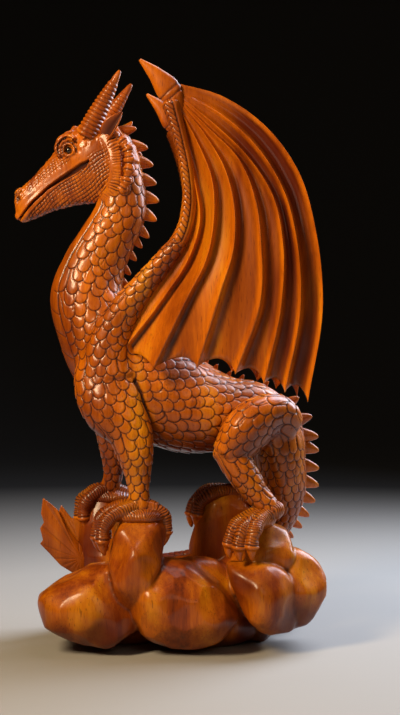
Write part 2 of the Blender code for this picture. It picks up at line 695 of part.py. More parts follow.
def make_spikes(collection):
    """Spikes along the ridge of the neck, back and tail, each leaning towards the tail."""
    rows = smooth_rows((CROWN, *SPINE), 700)
    tangents, ups, _ = carried_frame(rows[:, :3], SPINE_UP)
    length = np.r_[0, np.cumsum(np.linalg.norm(np.diff(rows[:, :3], axis=0), axis=1))]
    neck = [(place, share * NECK_SPIKE_LENGTH / UNIT) for place, share in NECK_SPIKES]
    tail = [(place, share * TAIL_SPIKE_LENGTH / UNIT) for place, share in TAIL_SPIKES]
    for number, (place, tall) in enumerate(neck + tail):
        i = int(np.argmin(np.abs(length - place)))
        deep = SPIKE_ROOT_DEPTH / UNIT
        root = rows[i, :3] + ups[i] * (rows[i, 3] - deep)
        tip = root + ups[i] * (tall + deep) + tangents[i] * SPIKE_LEAN / UNIT
        wide = SPIKE_BASE_RADIUS / UNIT * min(1, tall * UNIT / NECK_SPIKE_LENGTH)
        line = [(*(root + (tip - root) * t), wide * along, wide * across) for t, along, across in SPIKE_FORM]
        rings = loft_rings(np.array(line), tangents[i], 6, domes=())
        mesh_object(f"spike_{number}", *skin(rings), collection)


def make_clay(collection):
    """The rounded masses of the carving, overlapping, before they are made one skin."""
    tube("spine", SPINE, SPINE_UP, collection, rows=110, around=32)
    make_legs(collection)
    make_head(collection)
    for side in (NEAR, FAR):
        head_ridge(f"brow_{side}", BROW, -side, (4.5, 4), collection)
        head_ridge(f"cheek_frill_{side}", CHEEK_FRILL, -side, (4, 5), collection)
        head_ridge(f"neck_ruff_{side}", NECK_RUFF, -side, (4, 4.5), collection)
    make_ears(collection)
    make_wing_arms(collection)
    make_rocks(collection)


def make_crisp_parts(collection):
    """What keeps its edges sharp and is joined on after the clay has been thinned."""
    for side in (NEAR, FAR):
        make_wing(side, collection)
        make_horn(side, collection)
    make_spikes(collection)
    make_tail_fin(collection)


def make_cutters(collection):
    """The saw cut under the base, the two mouth grooves and the eye sockets."""
    saw = bmesh.new()
    bmesh.ops.create_cube(saw, size=1.0)
    saw.transform(Matrix.Translation((0, 0, -SAW_DEPTH / 2)) @ Matrix.Diagonal((*SAW_SPREAD, SAW_DEPTH, 1)))
    from_bmesh("underside_cut", saw, collection)
    for side in (NEAR, FAR):
        rings = []
        for along, up, share in MOUTH_LINE:
            inner, outer = head_width(along) - MOUTH_GROOVE_DEPTH / UNIT, head_width(along) + 12
            half = MOUTH_GROOVE_WIDTH / UNIT / 2 * share
            corners = ((inner, -0.4), (inner, 0.4), (outer, 1.3), (outer, -1.3))
            rings.append([head_point(along, up + half * k, -side * out) for out, k in corners])
        mesh_object(f"mouth_cut_{side}", *skin(np.array(rings)), collection)
        ball(f"eye_socket_{side}", side, EYE_BEAD_DIAMETER / 2 + EYE_BEAD_GAP, collection)


def ball(name, side, radius, collection):
    """A ball at one eye, its radius in metres."""
    sunk = EYE_BEAD_SHOWING - EYE_BEAD_DIAMETER / 2
    centre = head_point(*EYE_PLACE[:2], -side * (EYE_PLACE[2] + sunk / UNIT)) * UNIT
    sphere = bmesh.new()
    bmesh.ops.create_uvsphere(sphere, u_segments=14, v_segments=9, radius=radius)
    sphere.transform(Matrix.Translation(centre))
    return from_bmesh(name, sphere, collection)


def from_bmesh(name, work, collection):
    mesh = bpy.data.meshes.new(name)
    work.to_mesh(mesh)
    work.free()
    made = bpy.data.objects.new(name, mesh)
    collection.objects.link(made)
    return made


def joined(name, parts, collection):
    """One mesh object holding all the parts, still as separate skins."""
    points, faces = [], []
    for part in parts:
        offset = len(points)
        points += [tuple(v.co) for v in part.data.vertices]
        faces += [tuple(i + offset for i in face.vertices) for face in part.data.polygons]
        bpy.data.objects.remove(part)
    mesh = bpy.data.meshes.new(name)
    mesh.from_pydata(points, [], faces)
    made = bpy.data.objects.new(name, mesh)
    collection.objects.link(made)
    return made


def baked(thing):
    """The object's mesh made what its modifiers show, and the modifiers removed."""
    graph = bpy.context.evaluated_depsgraph_get()
    mesh = bpy.data.meshes.new_from_object(thing.evaluated_get(graph))
    thing.modifiers.clear()
    thing.data = mesh


def thin_out(thing, triangles):
    """The mesh thinned to about so many triangles, the flatter places losing most."""
    thing.data.calc_loop_triangles()
    thin = thing.modifiers.new("thin_out", "DECIMATE")
    thin.ratio = triangles / len(thing.data.loop_triangles)
    thin.use_collapse_triangulate = True
    baked(thing)


def one_skin(thing, voxel):
    """The overlapping skins made one and softened a little where they meet."""
    remesh = thing.modifiers.new("one_skin", "REMESH")
    remesh.mode = "VOXEL"
    remesh.voxel_size = voxel
    soften = thing.modifiers.new("soften", "SMOOTH")
    soften.factor = 0.5
    soften.iterations = 3
    baked(thing)


def close_seams(thing):
    """Triangles throughout, and the hair-thin ones that leave an edge open or crowded drawn together."""
    thing.modifiers.new("triangles", "TRIANGULATE")
    baked(thing)
    work = bmesh.new()
    work.from_mesh(thing.data)
    for reach in SEAM_REACHES:
        loose = {v for edge in work.edges if len(edge.link_faces) != 2 for v in edge.verts}
        bmesh.ops.remove_doubles(work, verts=list(loose), dist=reach)
    work.to_mesh(thing.data)
    work.free()


def combine(thing, operation, collection):
    """Joins or cuts with everything in a collection."""
    step = thing.modifiers.new(f"{operation.lower()}_{collection.name}", "BOOLEAN")
    step.operation = operation
    step.operand_type = "COLLECTION"
    step.collection = collection
    step.solver = "EXACT"


def hide(collection):
    collection.hide_render = True
    for thing in collection.objects:
        thing.hide_render = True
        thing.display_type = "WIRE"


def main():
    clear_scene()
    figure = new_collection("wooden_dragon_carving")
    clay = new_collection("clay")
    crisp = new_collection("crisp_parts")
    cutters = new_collection("cutters")
    make_clay(clay)
    dragon = joined("dragon_on_rocks", list(clay.objects), figure)
    one_skin(dragon, CLAY_VOXEL)
    thin_out(dragon, CLAY_TRIANGLES)
    make_crisp_parts(crisp)
    combine(dragon, "UNION", crisp)
    baked(dragon)
    close_seams(dragon)
    thin_out(dragon, JOINED_TRIANGLES)
    dragon.data.materials.clear()
    dragon.data.materials.append(finish_material("carved_wood", WOOD, 0.35, 0.4))
    make_cutters(cutters)
    combine(dragon, "DIFFERENCE", cutters)
    hide(crisp)
    hide(cutters)
    for name, side in (("left_eye_bead", NEAR), ("right_eye_bead", FAR)):
        bead = ball(name, side, EYE_BEAD_DIAMETER / 2, figure)
        bead.data.materials.append(finish_material(name, BEAD, 0.08, 1.0))


main()
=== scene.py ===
# %% [markdown]
# # A dragon carved from one block of wood
#
# The real carving was roughed out of one log with an axe and chisels, cut with gouges, sanded and then
# lacquered. Everything but the two eye beads is one piece of wood. Here it is made as a sculptor works:
# first the large masses, then the scales and wrinkles cut into them, then the finish and the light.

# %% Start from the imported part
import math

import bmesh
import bpy
import numpy as np
from mathutils import Matrix, Vector
from mathutils.kdtree import KDTree


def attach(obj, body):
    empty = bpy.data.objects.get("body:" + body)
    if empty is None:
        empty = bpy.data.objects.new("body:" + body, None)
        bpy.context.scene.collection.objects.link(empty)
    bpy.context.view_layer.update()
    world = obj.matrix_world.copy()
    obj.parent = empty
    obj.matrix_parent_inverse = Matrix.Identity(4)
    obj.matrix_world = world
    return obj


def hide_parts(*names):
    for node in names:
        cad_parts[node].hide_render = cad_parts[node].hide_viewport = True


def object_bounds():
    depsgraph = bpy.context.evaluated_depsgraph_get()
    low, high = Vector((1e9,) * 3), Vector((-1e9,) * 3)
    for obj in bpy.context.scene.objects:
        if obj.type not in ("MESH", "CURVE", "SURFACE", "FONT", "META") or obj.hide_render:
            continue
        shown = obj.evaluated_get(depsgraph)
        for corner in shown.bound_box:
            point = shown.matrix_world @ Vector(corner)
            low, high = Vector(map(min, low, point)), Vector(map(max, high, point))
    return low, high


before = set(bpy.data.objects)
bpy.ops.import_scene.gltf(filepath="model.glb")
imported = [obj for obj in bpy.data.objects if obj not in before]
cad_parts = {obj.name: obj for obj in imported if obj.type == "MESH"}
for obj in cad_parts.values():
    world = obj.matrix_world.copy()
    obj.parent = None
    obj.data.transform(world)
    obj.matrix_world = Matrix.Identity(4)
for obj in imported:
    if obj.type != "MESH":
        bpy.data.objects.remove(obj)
cad_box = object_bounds()
print("CAD nodes:", sorted(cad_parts))

# %% [markdown]
# Lengths in the tables are millimetres, because a carver thinks in them. X runs from the head to the
# tail, Z runs up, and the side that faces the camera is NEAR, towards -Y. The first table gives the line
# of the spine, from the skull along the neck and back to the tip of the tail, with the half height and
# half width of the body there.

# %% The masses of the body
MM = 0.001
NEAR, FAR = -1, 1

SPINE = (
    (-84, 3, 499, 15, 14), (-80, 2, 478, 19.5, 18), (-79, 0, 455, 23, 21), (-79, 0, 430, 25, 22),
    (-92, 0, 402, 27, 24), (-106, 0, 374, 31, 27), (-112, 0, 345, 37, 32), (-101, 0, 313, 42, 38),
    (-80, 0, 279, 48, 43), (-45, 0, 251, 51, 46), (-10, 0, 234, 47, 46), (25, 0, 226, 38, 40),
    (55, 0, 220, 36, 36), (76, 0, 204, 28, 37), (80, 2, 180, 25, 34), (82, 6, 155, 24, 27),
    (78, 14, 130, 22, 21), (67, 32, 106, 19, 19), (46, 54, 86, 17, 17), (8, 68, 70, 15, 15),
    (-38, 73, 62, 14, 13), (-80, 68, 60, 12, 12), (-106, 54, 66, 10, 10), (-116, 43, 80, 8, 8),
)
SPINE_UP = (1, 0, 0.35)

NEAR_FORELEG = (
    (-96, 22, 290, 22, 14), (-92, 34, 262, 31, 19), (-82, 41, 234, 31, 20), (-68, 43, 211, 22, 17),
    (-62, 44, 187, 16.5, 14.5), (-60, 45, 168, 12, 12), (-59, 46, 152, 9.5, 10.5), (-58, 46, 138, 12, 12),
)
FAR_FORELEG = (
    (-96, 22, 290, 22, 14), (-95, 34, 260, 29, 19), (-93, 41, 232, 25, 19), (-90, 43, 208, 18, 16),
    (-89, 45, 186, 14, 13), (-89, 46, 170, 11, 11.5), (-91, 47, 157, 9.5, 10.5), (-93, 48, 146, 11, 11),
)
THIGH = (
    (84, 24, 214, 22, 15), (69, 33, 224, 28, 19), (50, 41, 216, 31, 22), (36, 45, 201, 26, 20),
    (26, 47, 190, 17, 15),
)
SHANK = (
    (27, 46, 196, 16, 15), (36, 47, 180, 15.5, 14.5), (46, 47, 164, 14, 12.5), (55, 47, 151, 11.5, 10.5),
    (64, 47, 141, 10.5, 10), (69, 47, 134, 9, 9.5),
)
WING_ARM = (
    (-86, 40, 262, 24, 16), (-89, 37, 285, 23, 16.5), (-82, 39, 311, 19, 15), (-67, 46, 336, 14.5, 12.5),
    (-51, 53, 356, 11.5, 10.5),
    (-32, 60, 378, 9.5, 9.5), (-17, 66, 399, 8, 8.5), (-10, 71, 427, 6.8, 7.5), (-12, 75, 459, 6.5, 7),
    (-19, 78, 492, 6.5, 7), (-27, 80, 521, 8.5, 7.5),
)

# %% [markdown]
# Every mass is a loft: rings set square to a smooth curve through the stations. The helpers below make
# the curve, carry a frame along it without twisting, and close the ends with small domes.

# %% Helpers that make a loft
# The rings that close an end, in degrees up a dome that is a little flatter than half a ball
DOME_ANGLES = (75, 45, 20)
DOME_FLATNESS = 0.6


def running_length(points):
    """How far along the line of points each one lies."""
    return np.r_[0, np.cumsum(np.linalg.norm(np.diff(points, axis=0), axis=1))]


def cubic(values, slope, i, u, span=1.0):
    """Smooth values at the share u of the way from row i to the next one, with a slope at each row."""
    start = (2 * u**3 - 3 * u**2 + 1) * values[i] + (u**3 - 2 * u**2 + u) * span * slope[i]
    end = (3 * u**2 - 2 * u**3) * values[i + 1] + (u**3 - u**2) * span * slope[i + 1]
    return start + end


def smooth_rows(stations, count):
    """Rows evenly spaced on a smooth curve through the stations, every column carried along."""
    p = np.asarray(stations, float)
    knots = running_length(p[:, :3])
    slope = np.gradient(p, knots, axis=0)
    t = np.linspace(0, knots[-1], count)
    i = np.clip(np.searchsorted(knots, t, side="right") - 1, 0, len(knots) - 2)
    span = (knots[i + 1] - knots[i])[:, None]
    return cubic(p, slope, i, (t - knots[i])[:, None] / span, span)


def unit_rows(v):
    return v / np.maximum(np.linalg.norm(v, axis=-1, keepdims=True), 1e-9)


def carried_frame(centres, up):
    """Tangent, up and side at each centre, the up vector carried along the path without twisting."""
    tangents = unit_rows(np.gradient(centres, axis=0))
    up = np.asarray(up, float)
    ups = []
    for tangent in tangents:
        up = up - tangent * (up @ tangent)
        up = up / np.linalg.norm(up)
        ups.append(up)
    ups = np.array(ups)
    return tangents, ups, np.cross(tangents, ups)


def loft(rows, up, around):
    """Points and faces of a closed loft over rows of x, y, z, half height and half width."""
    rows = np.asarray(rows, float)
    centres, high, wide = rows[:, :3], rows[:, 3], rows[:, 4]
    tangents, ups, sides = carried_frame(centres, up)
    angles = np.linspace(0, 2 * math.pi, around, endpoint=False)
    dome = [math.radians(a) for a in DOME_ANGLES]
    plan = [(0, -1, a) for a in dome]
    plan += [(i, 0, 0.0) for i in range(len(rows))]
    plan += [(len(rows) - 1, 1, a) for a in reversed(dome)]
    rings = []
    for i, end, a in plan:
        centre = centres[i] + tangents[i] * end * math.sin(a) * DOME_FLATNESS * min(high[i], wide[i])
        ring = np.outer(np.cos(angles) * high[i], ups[i]) + np.outer(np.sin(angles) * wide[i], sides[i])
        rings.append(centre + math.cos(a) * ring)
    return skin(np.array(rings))


def skin(rings):
    """Points and faces of a closed tube over the rings, with a fan at each end, facing outwards."""
    count, around = rings.shape[:2]
    points = np.concatenate([rings.reshape(-1, 3), [rings[0].mean(axis=0), rings[-1].mean(axis=0)]])
    i = (np.arange(count - 1) * around)[:, None]
    j = np.arange(around)[None, :]
    k = (j + 1) % around
    faces = np.stack([i + j, i + k, i + around + k, i + around + j], axis=-1).reshape(-1, 4).tolist()
    first, last, top = count * around, count * around + 1, (count - 1) * around
    for j in range(around):
        k = (j + 1) % around
        faces.append([first, k, j])
        faces.append([last, top + j, top + k])
    return facing_out(points, faces)


def facing_out(points, faces):
    """The faces turned round if the closed shape's volume comes out negative."""
    volume = 0.0
    for size in (3, 4):
        group = np.array([f for f in faces if len(f) == size], int)
        if len(group):
            corner = points[group]
            for n in range(1, size - 1):
                volume += np.einsum("ij,ij->", corner[:, 0], np.cross(corner[:, n], corner[:, n + 1]))
    return (points, faces) if volume > 0 else (points, [f[::-1] for f in faces])


def tube(stations, up, rows=24, around=20):
    return loft(smooth_rows(stations, rows), up, around)


def on_side(stations, side):
    """The stations with their distance from the middle plane made a place on one side."""
    return [(s[0], s[1] * side, *s[2:]) for s in stations]


# %% [markdown]
# Overlapping masses become one skin in the way that clay is pressed together: a voxel remesh. A light
# smoothing then softens the joints between them. The helpers read and write all the points of a mesh at
# once, which is what makes hundreds of thousands of points quick to carve.

# %% Helpers that press clay together


def placed(name, data):
    """A new object with this data, linked to the scene."""
    made = bpy.data.objects.new(name, data)
    bpy.context.scene.collection.objects.link(made)
    return made


def mesh_object(name, points, faces, edges=()):
    """An object at the origin from points in millimetres."""
    mesh = bpy.data.meshes.new(name)
    mesh.from_pydata((np.asarray(points) * MM).tolist(), list(edges), faces)
    return placed(name, mesh)


def shown_mesh(thing):
    """A copy of the mesh that the object's modifiers show, which are then removed."""
    graph = bpy.context.evaluated_depsgraph_get()
    mesh = bpy.data.meshes.new_from_object(thing.evaluated_get(graph))
    thing.modifiers.clear()
    return mesh


def baked(thing):
    """The object with its mesh made what its modifiers show."""
    thing.data = shown_mesh(thing)
    return thing


def rub(thing, rounds, group=""):
    """Adds so many rounds of smoothing, where a vertex group says so if one is named."""
    soften = thing.modifiers.new("rub_smooth", "SMOOTH")
    soften.factor = 0.5
    soften.iterations = rounds
    soften.vertex_group = group


def pressed(name, shapes, voxel, softening):
    """One skin over the overlapping shapes, with a voxel size in millimetres."""
    points, faces, offset = [], [], 0
    for shape_points, shape_faces in shapes:
        points.append(shape_points)
        faces += [[i + offset for i in face] for face in shape_faces]
        offset += len(shape_points)
    thing = mesh_object(name, np.concatenate(points), faces)
    remesh = thing.modifiers.new("one_skin", "REMESH")
    remesh.mode = "VOXEL"
    remesh.voxel_size = voxel * MM
    rub(thing, softening)
    return baked(thing)


def thinned(thing, triangles):
    """The mesh thinned to about so many triangles, the flatter places losing most."""
    thing.data.calc_loop_triangles()
    thin = thing.modifiers.new("thin_out", "DECIMATE")
    thin.ratio = min(1.0, triangles / len(thing.data.loop_triangles))
    thin.use_collapse_triangulate = True
    return baked(thing)


def vectors_of(elements, key):
    """A vector from each element of a mesh, as rows."""
    values = np.empty(len(elements) * 3, np.float32)
    elements.foreach_get(key, values)
    return values.reshape(-1, 3)


def places_of(thing):
    """The object's points in millimetres, and their normals."""
    return vectors_of(thing.data.vertices, "co") / MM, vectors_of(thing.data.vertex_normals, "vector")


def hollows_of(thing, rounds):
    """How far each point lies below the surface that so many rounds of smoothing leave, in millimetres."""
    rub(thing, rounds)
    soft = shown_mesh(thing)
    moved = vectors_of(soft.vertices, "co") / MM
    bpy.data.meshes.remove(soft)
    places, normals = places_of(thing)
    return np.einsum("ij,ij->i", moved - places, normals)


def set_places(thing, places):
    """Moves the points to the places, held inside the box of the solids."""
    low, high = (np.array(corner) / MM for corner in CAD_LIMITS)
    held = np.clip(places, low, high)
    thing.data.vertices.foreach_set("co", (held * MM).astype(np.float32).ravel())
    thing.data.update()


def set_layer(thing, name, values):
    """A number for each point, or one for all of them, that a material reads by name."""
    layer = thing.data.attributes.get(name) or thing.data.attributes.new(name, "FLOAT", "POINT")
    layer.data.foreach_set("value", np.full(len(thing.data.vertices), values, np.float32))


def lattice_noise(places, size, seed):
    """Smooth unevenness between -1 and 1 whose lumps are about size millimetres across."""
    # The large numbers only scramble each corner of the lattice, so that its value looks thrown by dice
    p = places / size + seed * 17.31
    cell = np.floor(p).astype(np.int64)
    f = p - cell
    f = f * f * (3 - 2 * f)
    total = np.zeros(len(p))
    for corner in range(8):
        step = np.array((corner & 1, corner >> 1 & 1, corner >> 2 & 1))
        c = cell + step
        mixed = (c[:, 0] * 73856093) ^ (c[:, 1] * 19349663) ^ (c[:, 2] * 83492791) ^ (seed * 2654435)
        value = (mixed * 1103515245 + 12345 >> 8 & 0xFFFF) / 32767.5 - 1
        total += value * np.prod(np.where(step, f, 1 - f), axis=1)
    return total


def groove(distance, half_width):
    """1 in the middle of a cut and 0 away from it."""
    return np.exp(-((distance / half_width) ** 2))


CAD_LIMITS = tuple(tuple(corner) for corner in cad_box)
print("CAD box:", CAD_LIMITS)

# %% [markdown]
# A limb is a loft with the directions that its scales follow. Each point of the skin belongs to the limb
# whose own surface lies nearest, and that is also where the creases between limbs run.

# %% The limbs and their scales
SCALE_PITCH_SHARE = 0.75
SCALE_TIP_SHARE = 0.62
SCALE_SQUARENESS = 2.15
SCALE_JITTER = 0.07
FORWARD = (1, 0, 0)
# The widths of the scales along each limb, from its root to its end
SPINE_SCALES = (11.5, 12, 12.6, 13, 13, 12.8, 12.5, 12, 11, 10, 9, 8.5, 8, 7.5, 7, 6.5)
FORELEG_SCALES = (12.5, 12.5, 11.5, 10)
THIGH_SCALES = (12, 12, 11.5)
SHANK_SCALES = (11, 10, 9)
ARM_SCALES = (12, 11.5, 10.5, 9.5, 8.5, 8, 8)
# How many places are looked up at a time
BLOCK = 20000


def limb(stations, up, sizes, rows, reverse=False):
    """A limb: its rows, frame, running length and the width of its scales along it."""
    table = smooth_rows(stations, rows)
    if reverse:
        table = table[::-1]
        sizes = sizes[::-1]
    tangents, ups, sides = carried_frame(table[:, :3], up)
    length = running_length(table[:, :3])
    share = length / length[-1]
    widths = np.interp(share, np.linspace(0, 1, len(sizes)), sizes)
    return dict(rows=table, tangents=tangents, ups=ups, sides=sides, length=length, widths=widths)


LIMBS = {"spine": limb(SPINE, SPINE_UP, SPINE_SCALES, 520)}
for side, word in ((NEAR, "near"), (FAR, "far")):
    foreleg = NEAR_FORELEG if side == NEAR else FAR_FORELEG
    for name, stations, sizes, rows in (
        ("foreleg", foreleg, FORELEG_SCALES, 110), ("thigh", THIGH, THIGH_SCALES, 70),
        ("shank", SHANK, SHANK_SCALES, 70), ("arm", WING_ARM, ARM_SCALES, 200),
    ):
        LIMBS[f"{word}_{name}"] = limb(on_side(stations, side), FORWARD, sizes, rows, name == "arm")
LIMB_NAMES = list(LIMBS)
print("limbs:", LIMB_NAMES)


def nearness(places, part):
    """For each place its nearest row of a limb, and how far off the limb's surface it is, 1 being on it."""
    centres = part["rows"][:, :3].astype(np.float32)
    nearest = np.empty(len(places), int)
    for start in range(0, len(places), BLOCK):
        block = places[start:start + BLOCK]
        gap = (centres**2).sum(axis=1)[None, :] - 2 * block @ centres.T
        nearest[start:start + BLOCK] = gap.argmin(axis=1)
    off = places - centres[nearest]
    high, wide = part["rows"][nearest, 3], part["rows"][nearest, 4]
    up = np.einsum("ij,ij->i", off, part["ups"][nearest]) / high
    side = np.einsum("ij,ij->i", off, part["sides"][nearest]) / wide
    along = np.einsum("ij,ij->i", off, part["tangents"][nearest]) / np.minimum(high, wide)
    return nearest, np.sqrt(up**2 + side**2 + along**2), np.arctan2(side, up)


def owners(places):
    """Which limb each place belongs to, with its row, angle and how clearly it belongs there."""
    found = [nearness(places, part) for part in LIMBS.values()]
    off = np.stack([f[1] for f in found])
    owner = off.argmin(axis=0)
    n = np.arange(len(places))
    row = np.stack([f[0] for f in found])[owner, n]
    angle = np.stack([f[2] for f in found])[owner, n]
    return owner, row, angle, off


# %% [markdown]
# The body itself: spine, legs and wing arms are pressed into one skin. The voxel size decides how fine a
# cut the skin can hold. One millimetre is about the width of the gouge line round a scale.

# %% The body's skin
BODY_VOXEL = 0.92
BODY_TRIANGLES = 322000
# How far a place is from a limb's surface comes as a share of the limb's radius, here taken as this
LIMB_RADIUS = 30.0
BLEND_REACH = 9.0
BLEND_ROUNDS = 160
LEAST_WEIGHT = 0.02
# The shoulder's joint lies before one value of X and below one of Z, and behind the line of the chest
# also above one of Z. The haunch's joint lies behind one value of X and above one of Z
SHOULDER_BACK, SHOULDER_TOP, CHEST_LINE, SHOULDER_LOW = -40, 372, -88, 272
HAUNCH_FRONT, HAUNCH_LOW = 56, 168

shapes = [tube(SPINE, SPINE_UP, rows=220, around=64)]
for name, part in LIMBS.items():
    if name != "spine":
        shapes.append(loft(part["rows"][::2], part["ups"][0], 40))
body = pressed("body", shapes, BODY_VOXEL, 4)
places, _ = places_of(body)
owner, row, angle, off = owners(places)

# The shoulder and the back of the haunch flow into the body, so the joint is rubbed smooth there
two_nearest = np.sort(off, axis=0)[:2]
joint = np.clip(1.5 - (two_nearest[1] - two_nearest[0]) * LIMB_RADIUS / BLEND_REACH, 0, 1)
above_or_before = (places[:, 2] > SHOULDER_LOW) | (places[:, 0] < CHEST_LINE)
shoulder = (places[:, 0] < SHOULDER_BACK) & above_or_before & (places[:, 2] < SHOULDER_TOP)
haunch = (places[:, 0] > HAUNCH_FRONT) & (places[:, 2] > HAUNCH_LOW)
group = body.vertex_groups.new(name="joint")
weight = joint * (shoulder | haunch)
for i in np.flatnonzero(weight > LEAST_WEIGHT):
    group.add([int(i)], float(weight[i]), "REPLACE")
rub(body, BLEND_ROUNDS, group.name)
baked(body)
places, normals = places_of(body)
owner, row, angle, off = owners(places)
print("body skin:", len(places), "points")

# %% [markdown]
# Scales. On the real dragon each one is a U cut with a small gouge, in rows that are staggered like roof
# tiles, with the free end of each U towards the tail or the foot. So the rows are laid out first, ring by
# ring along each limb. Then every point of the skin finds the topmost scale over it, and is raised or cut
# by its place on that scale. It could be done with a texture, but then no edge would stand up in the mesh.

# %% Lay out the scales
BELLY_BAND_HALF_ANGLE = 0.74
# The share of its full width that the band has at these distances along the spine
BAND_RUN = (0, 20, 60, 210, 262)
BAND_SHARE = (0.3, 0.8, 1.0, 1.0, 0.0)
BAND_MARGIN = 2.5
FINE_TURNS = 181
FEWEST_SCALES = 5
SKIN_REACH = 5
CROWDED_SHARE = 0.6


def tree_of(points):
    """A tree that finds the points nearest to a place."""
    tree = KDTree(len(points))
    for i, point in enumerate(points):
        tree.insert(point, i)
    tree.balance()
    return tree


def belly_band(places):
    """How far each place is from the smooth band down the throat and chest, along the skin."""
    nearest, _, turn = nearness(places, LIMBS["spine"])
    radius = LIMBS["spine"]["rows"][nearest, 3:5].mean(axis=1)
    run = LIMBS["spine"]["length"][nearest]
    fading = np.interp(run, BAND_RUN, BAND_SHARE)
    return (math.pi - np.abs(turn) - BELLY_BAND_HALF_ANGLE * fading) * radius, run


skin_tree = tree_of(places)


def lay_scales(index, part):
    """Centre, direction, side direction, normal and width of each scale of a limb."""
    made = []
    dice = np.random.default_rng(index)
    place, ring = part["widths"][0] / 2, 0
    while place < part["length"][-1]:
        i = int(np.searchsorted(part["length"], place))
        width = part["widths"][i]
        high, wide = part["rows"][i, 3:5]
        fine = np.linspace(0, 2 * math.pi, FINE_TURNS)
        run = running_length(np.c_[np.cos(fine) * high, np.sin(fine) * wide])
        count = max(FEWEST_SCALES, int(round(run[-1] / width)))
        spots = (np.arange(count) + 0.5 * (ring % 2) + dice.normal(0, SCALE_JITTER, count)) / count * run[-1]
        for turn in np.interp(spots, run, fine):
            offset = math.cos(turn) * high * part["ups"][i] + math.sin(turn) * wide * part["sides"][i]
            offset = offset + part["tangents"][i] * dice.normal(0, SCALE_JITTER) * width
            _, nearest, gap = skin_tree.find(part["rows"][i, :3] + offset)
            if gap < SKIN_REACH and owner[nearest] == index:
                normal = normals[nearest]
                way = part["tangents"][i] - normal * (part["tangents"][i] @ normal)
                way = way / np.linalg.norm(way)
                made.append((*places[nearest], *way, *np.cross(normal, way), *normal, width))
        place += width * SCALE_PITCH_SHARE
        ring += 1
    return made


def uncrowded(rows):
    """The rows without those whose scale lies too close to an earlier one."""
    tree = tree_of(rows[:, :3])
    staying, dropped = [], set()
    for i, scale in enumerate(rows):
        if i not in dropped:
            staying.append(i)
            close = tree.find_range(scale[:3], scale[12] * CROWDED_SHARE)
            dropped.update(j for _, j, _ in close if j > i)
    return rows[staying]


scales = []
for index, part in enumerate(LIMBS.values()):
    scales += lay_scales(index, part)
scales = np.array(scales)
band_gap, _ = belly_band(scales[:, :3])
on_spine = np.array([owner[skin_tree.find(scale[:3])[1]] == 0 for scale in scales])
scales = uncrowded(scales[~on_spine | (band_gap > BAND_MARGIN)])
print("scales:", len(scales))

# %% Find the topmost scale over each point
NEIGHBOURS = 9
SCALE_HALF_SHARE = 0.51
# A scale covers places up to this many rows behind its centre, and the edges of other scales count from
# this share of a row behind a place's own scale
BACK_REACH = 1.4
OVERLAP = 0.35
LEAST_FACING = 0.1
# What a place that no scale covers scores, so that it takes the nearest one that faces its way
UNCOVERED, TURNED_AWAY = 100, 1000
BARE_SKIN_GAP = 1.6


def scale_field(places, normals):
    """Depth below the skin of each place's own scale edge, its height on the scale, and a tint for each."""
    tree = tree_of(scales[:, :3])
    near = np.array([[f[1] for f in tree.find_n(p, NEIGHBOURS)] for p in places])
    centre, way, across, normal = (scales[near, k:k + 3] for k in (0, 3, 6, 9))
    width = scales[near, 12]
    off = places[:, None, :] - centre
    t = np.einsum("ijk,ijk->ij", off, way)
    x = np.einsum("ijk,ijk->ij", off, across)
    facing = np.einsum("ijk,ik->ij", normal, normals)
    pitch = width * SCALE_PITCH_SHARE
    half, tip = width * SCALE_HALF_SHARE, width * SCALE_TIP_SHARE
    below = np.maximum(t, 0)
    n = SCALE_SQUARENESS
    form = np.maximum((np.abs(x) / half) ** n + (below / tip) ** n, 1e-9) ** (1 / n)
    steep = np.hypot(np.abs(x) ** (n - 1) / half**n, below ** (n - 1) / tip**n)
    slope = np.maximum(steep * form ** (1 - n), 0.02)
    faces_it = facing > LEAST_FACING
    covers = (form < 1) & (t > -BACK_REACH * pitch) & faces_it
    score = np.where(covers, t, -form * UNCOVERED - TURNED_AWAY * ~faces_it)
    top = score.argmax(axis=1)
    n = np.arange(len(places))
    edge = np.abs(1 - form) / slope
    own = np.where(covers[n, top], edge[n, top], BARE_SKIN_GAP)
    above = (t >= t[n, top][:, None] - OVERLAP * pitch) & (form >= 1) & faces_it
    other = np.where(above, edge, 99.0).min(axis=1)
    distance = np.minimum(own, other)
    t, x, pitch, half = t[n, top], x[n, top], pitch[n, top], half[n, top]
    lift = np.clip((t + pitch) / (2 * pitch), 0, 1)
    dome = 1 - np.clip(np.abs(x) / half, 0, 1) ** 2
    tint = np.modf(np.abs(np.sin(near[n, top] * 12.9898) * 43758.5453))[0]
    return distance, lift, dome, tint


edge_distance, lift, dome, tint = scale_field(places, normals)
print("edge distance: median", round(float(np.median(edge_distance)), 2), "mm")
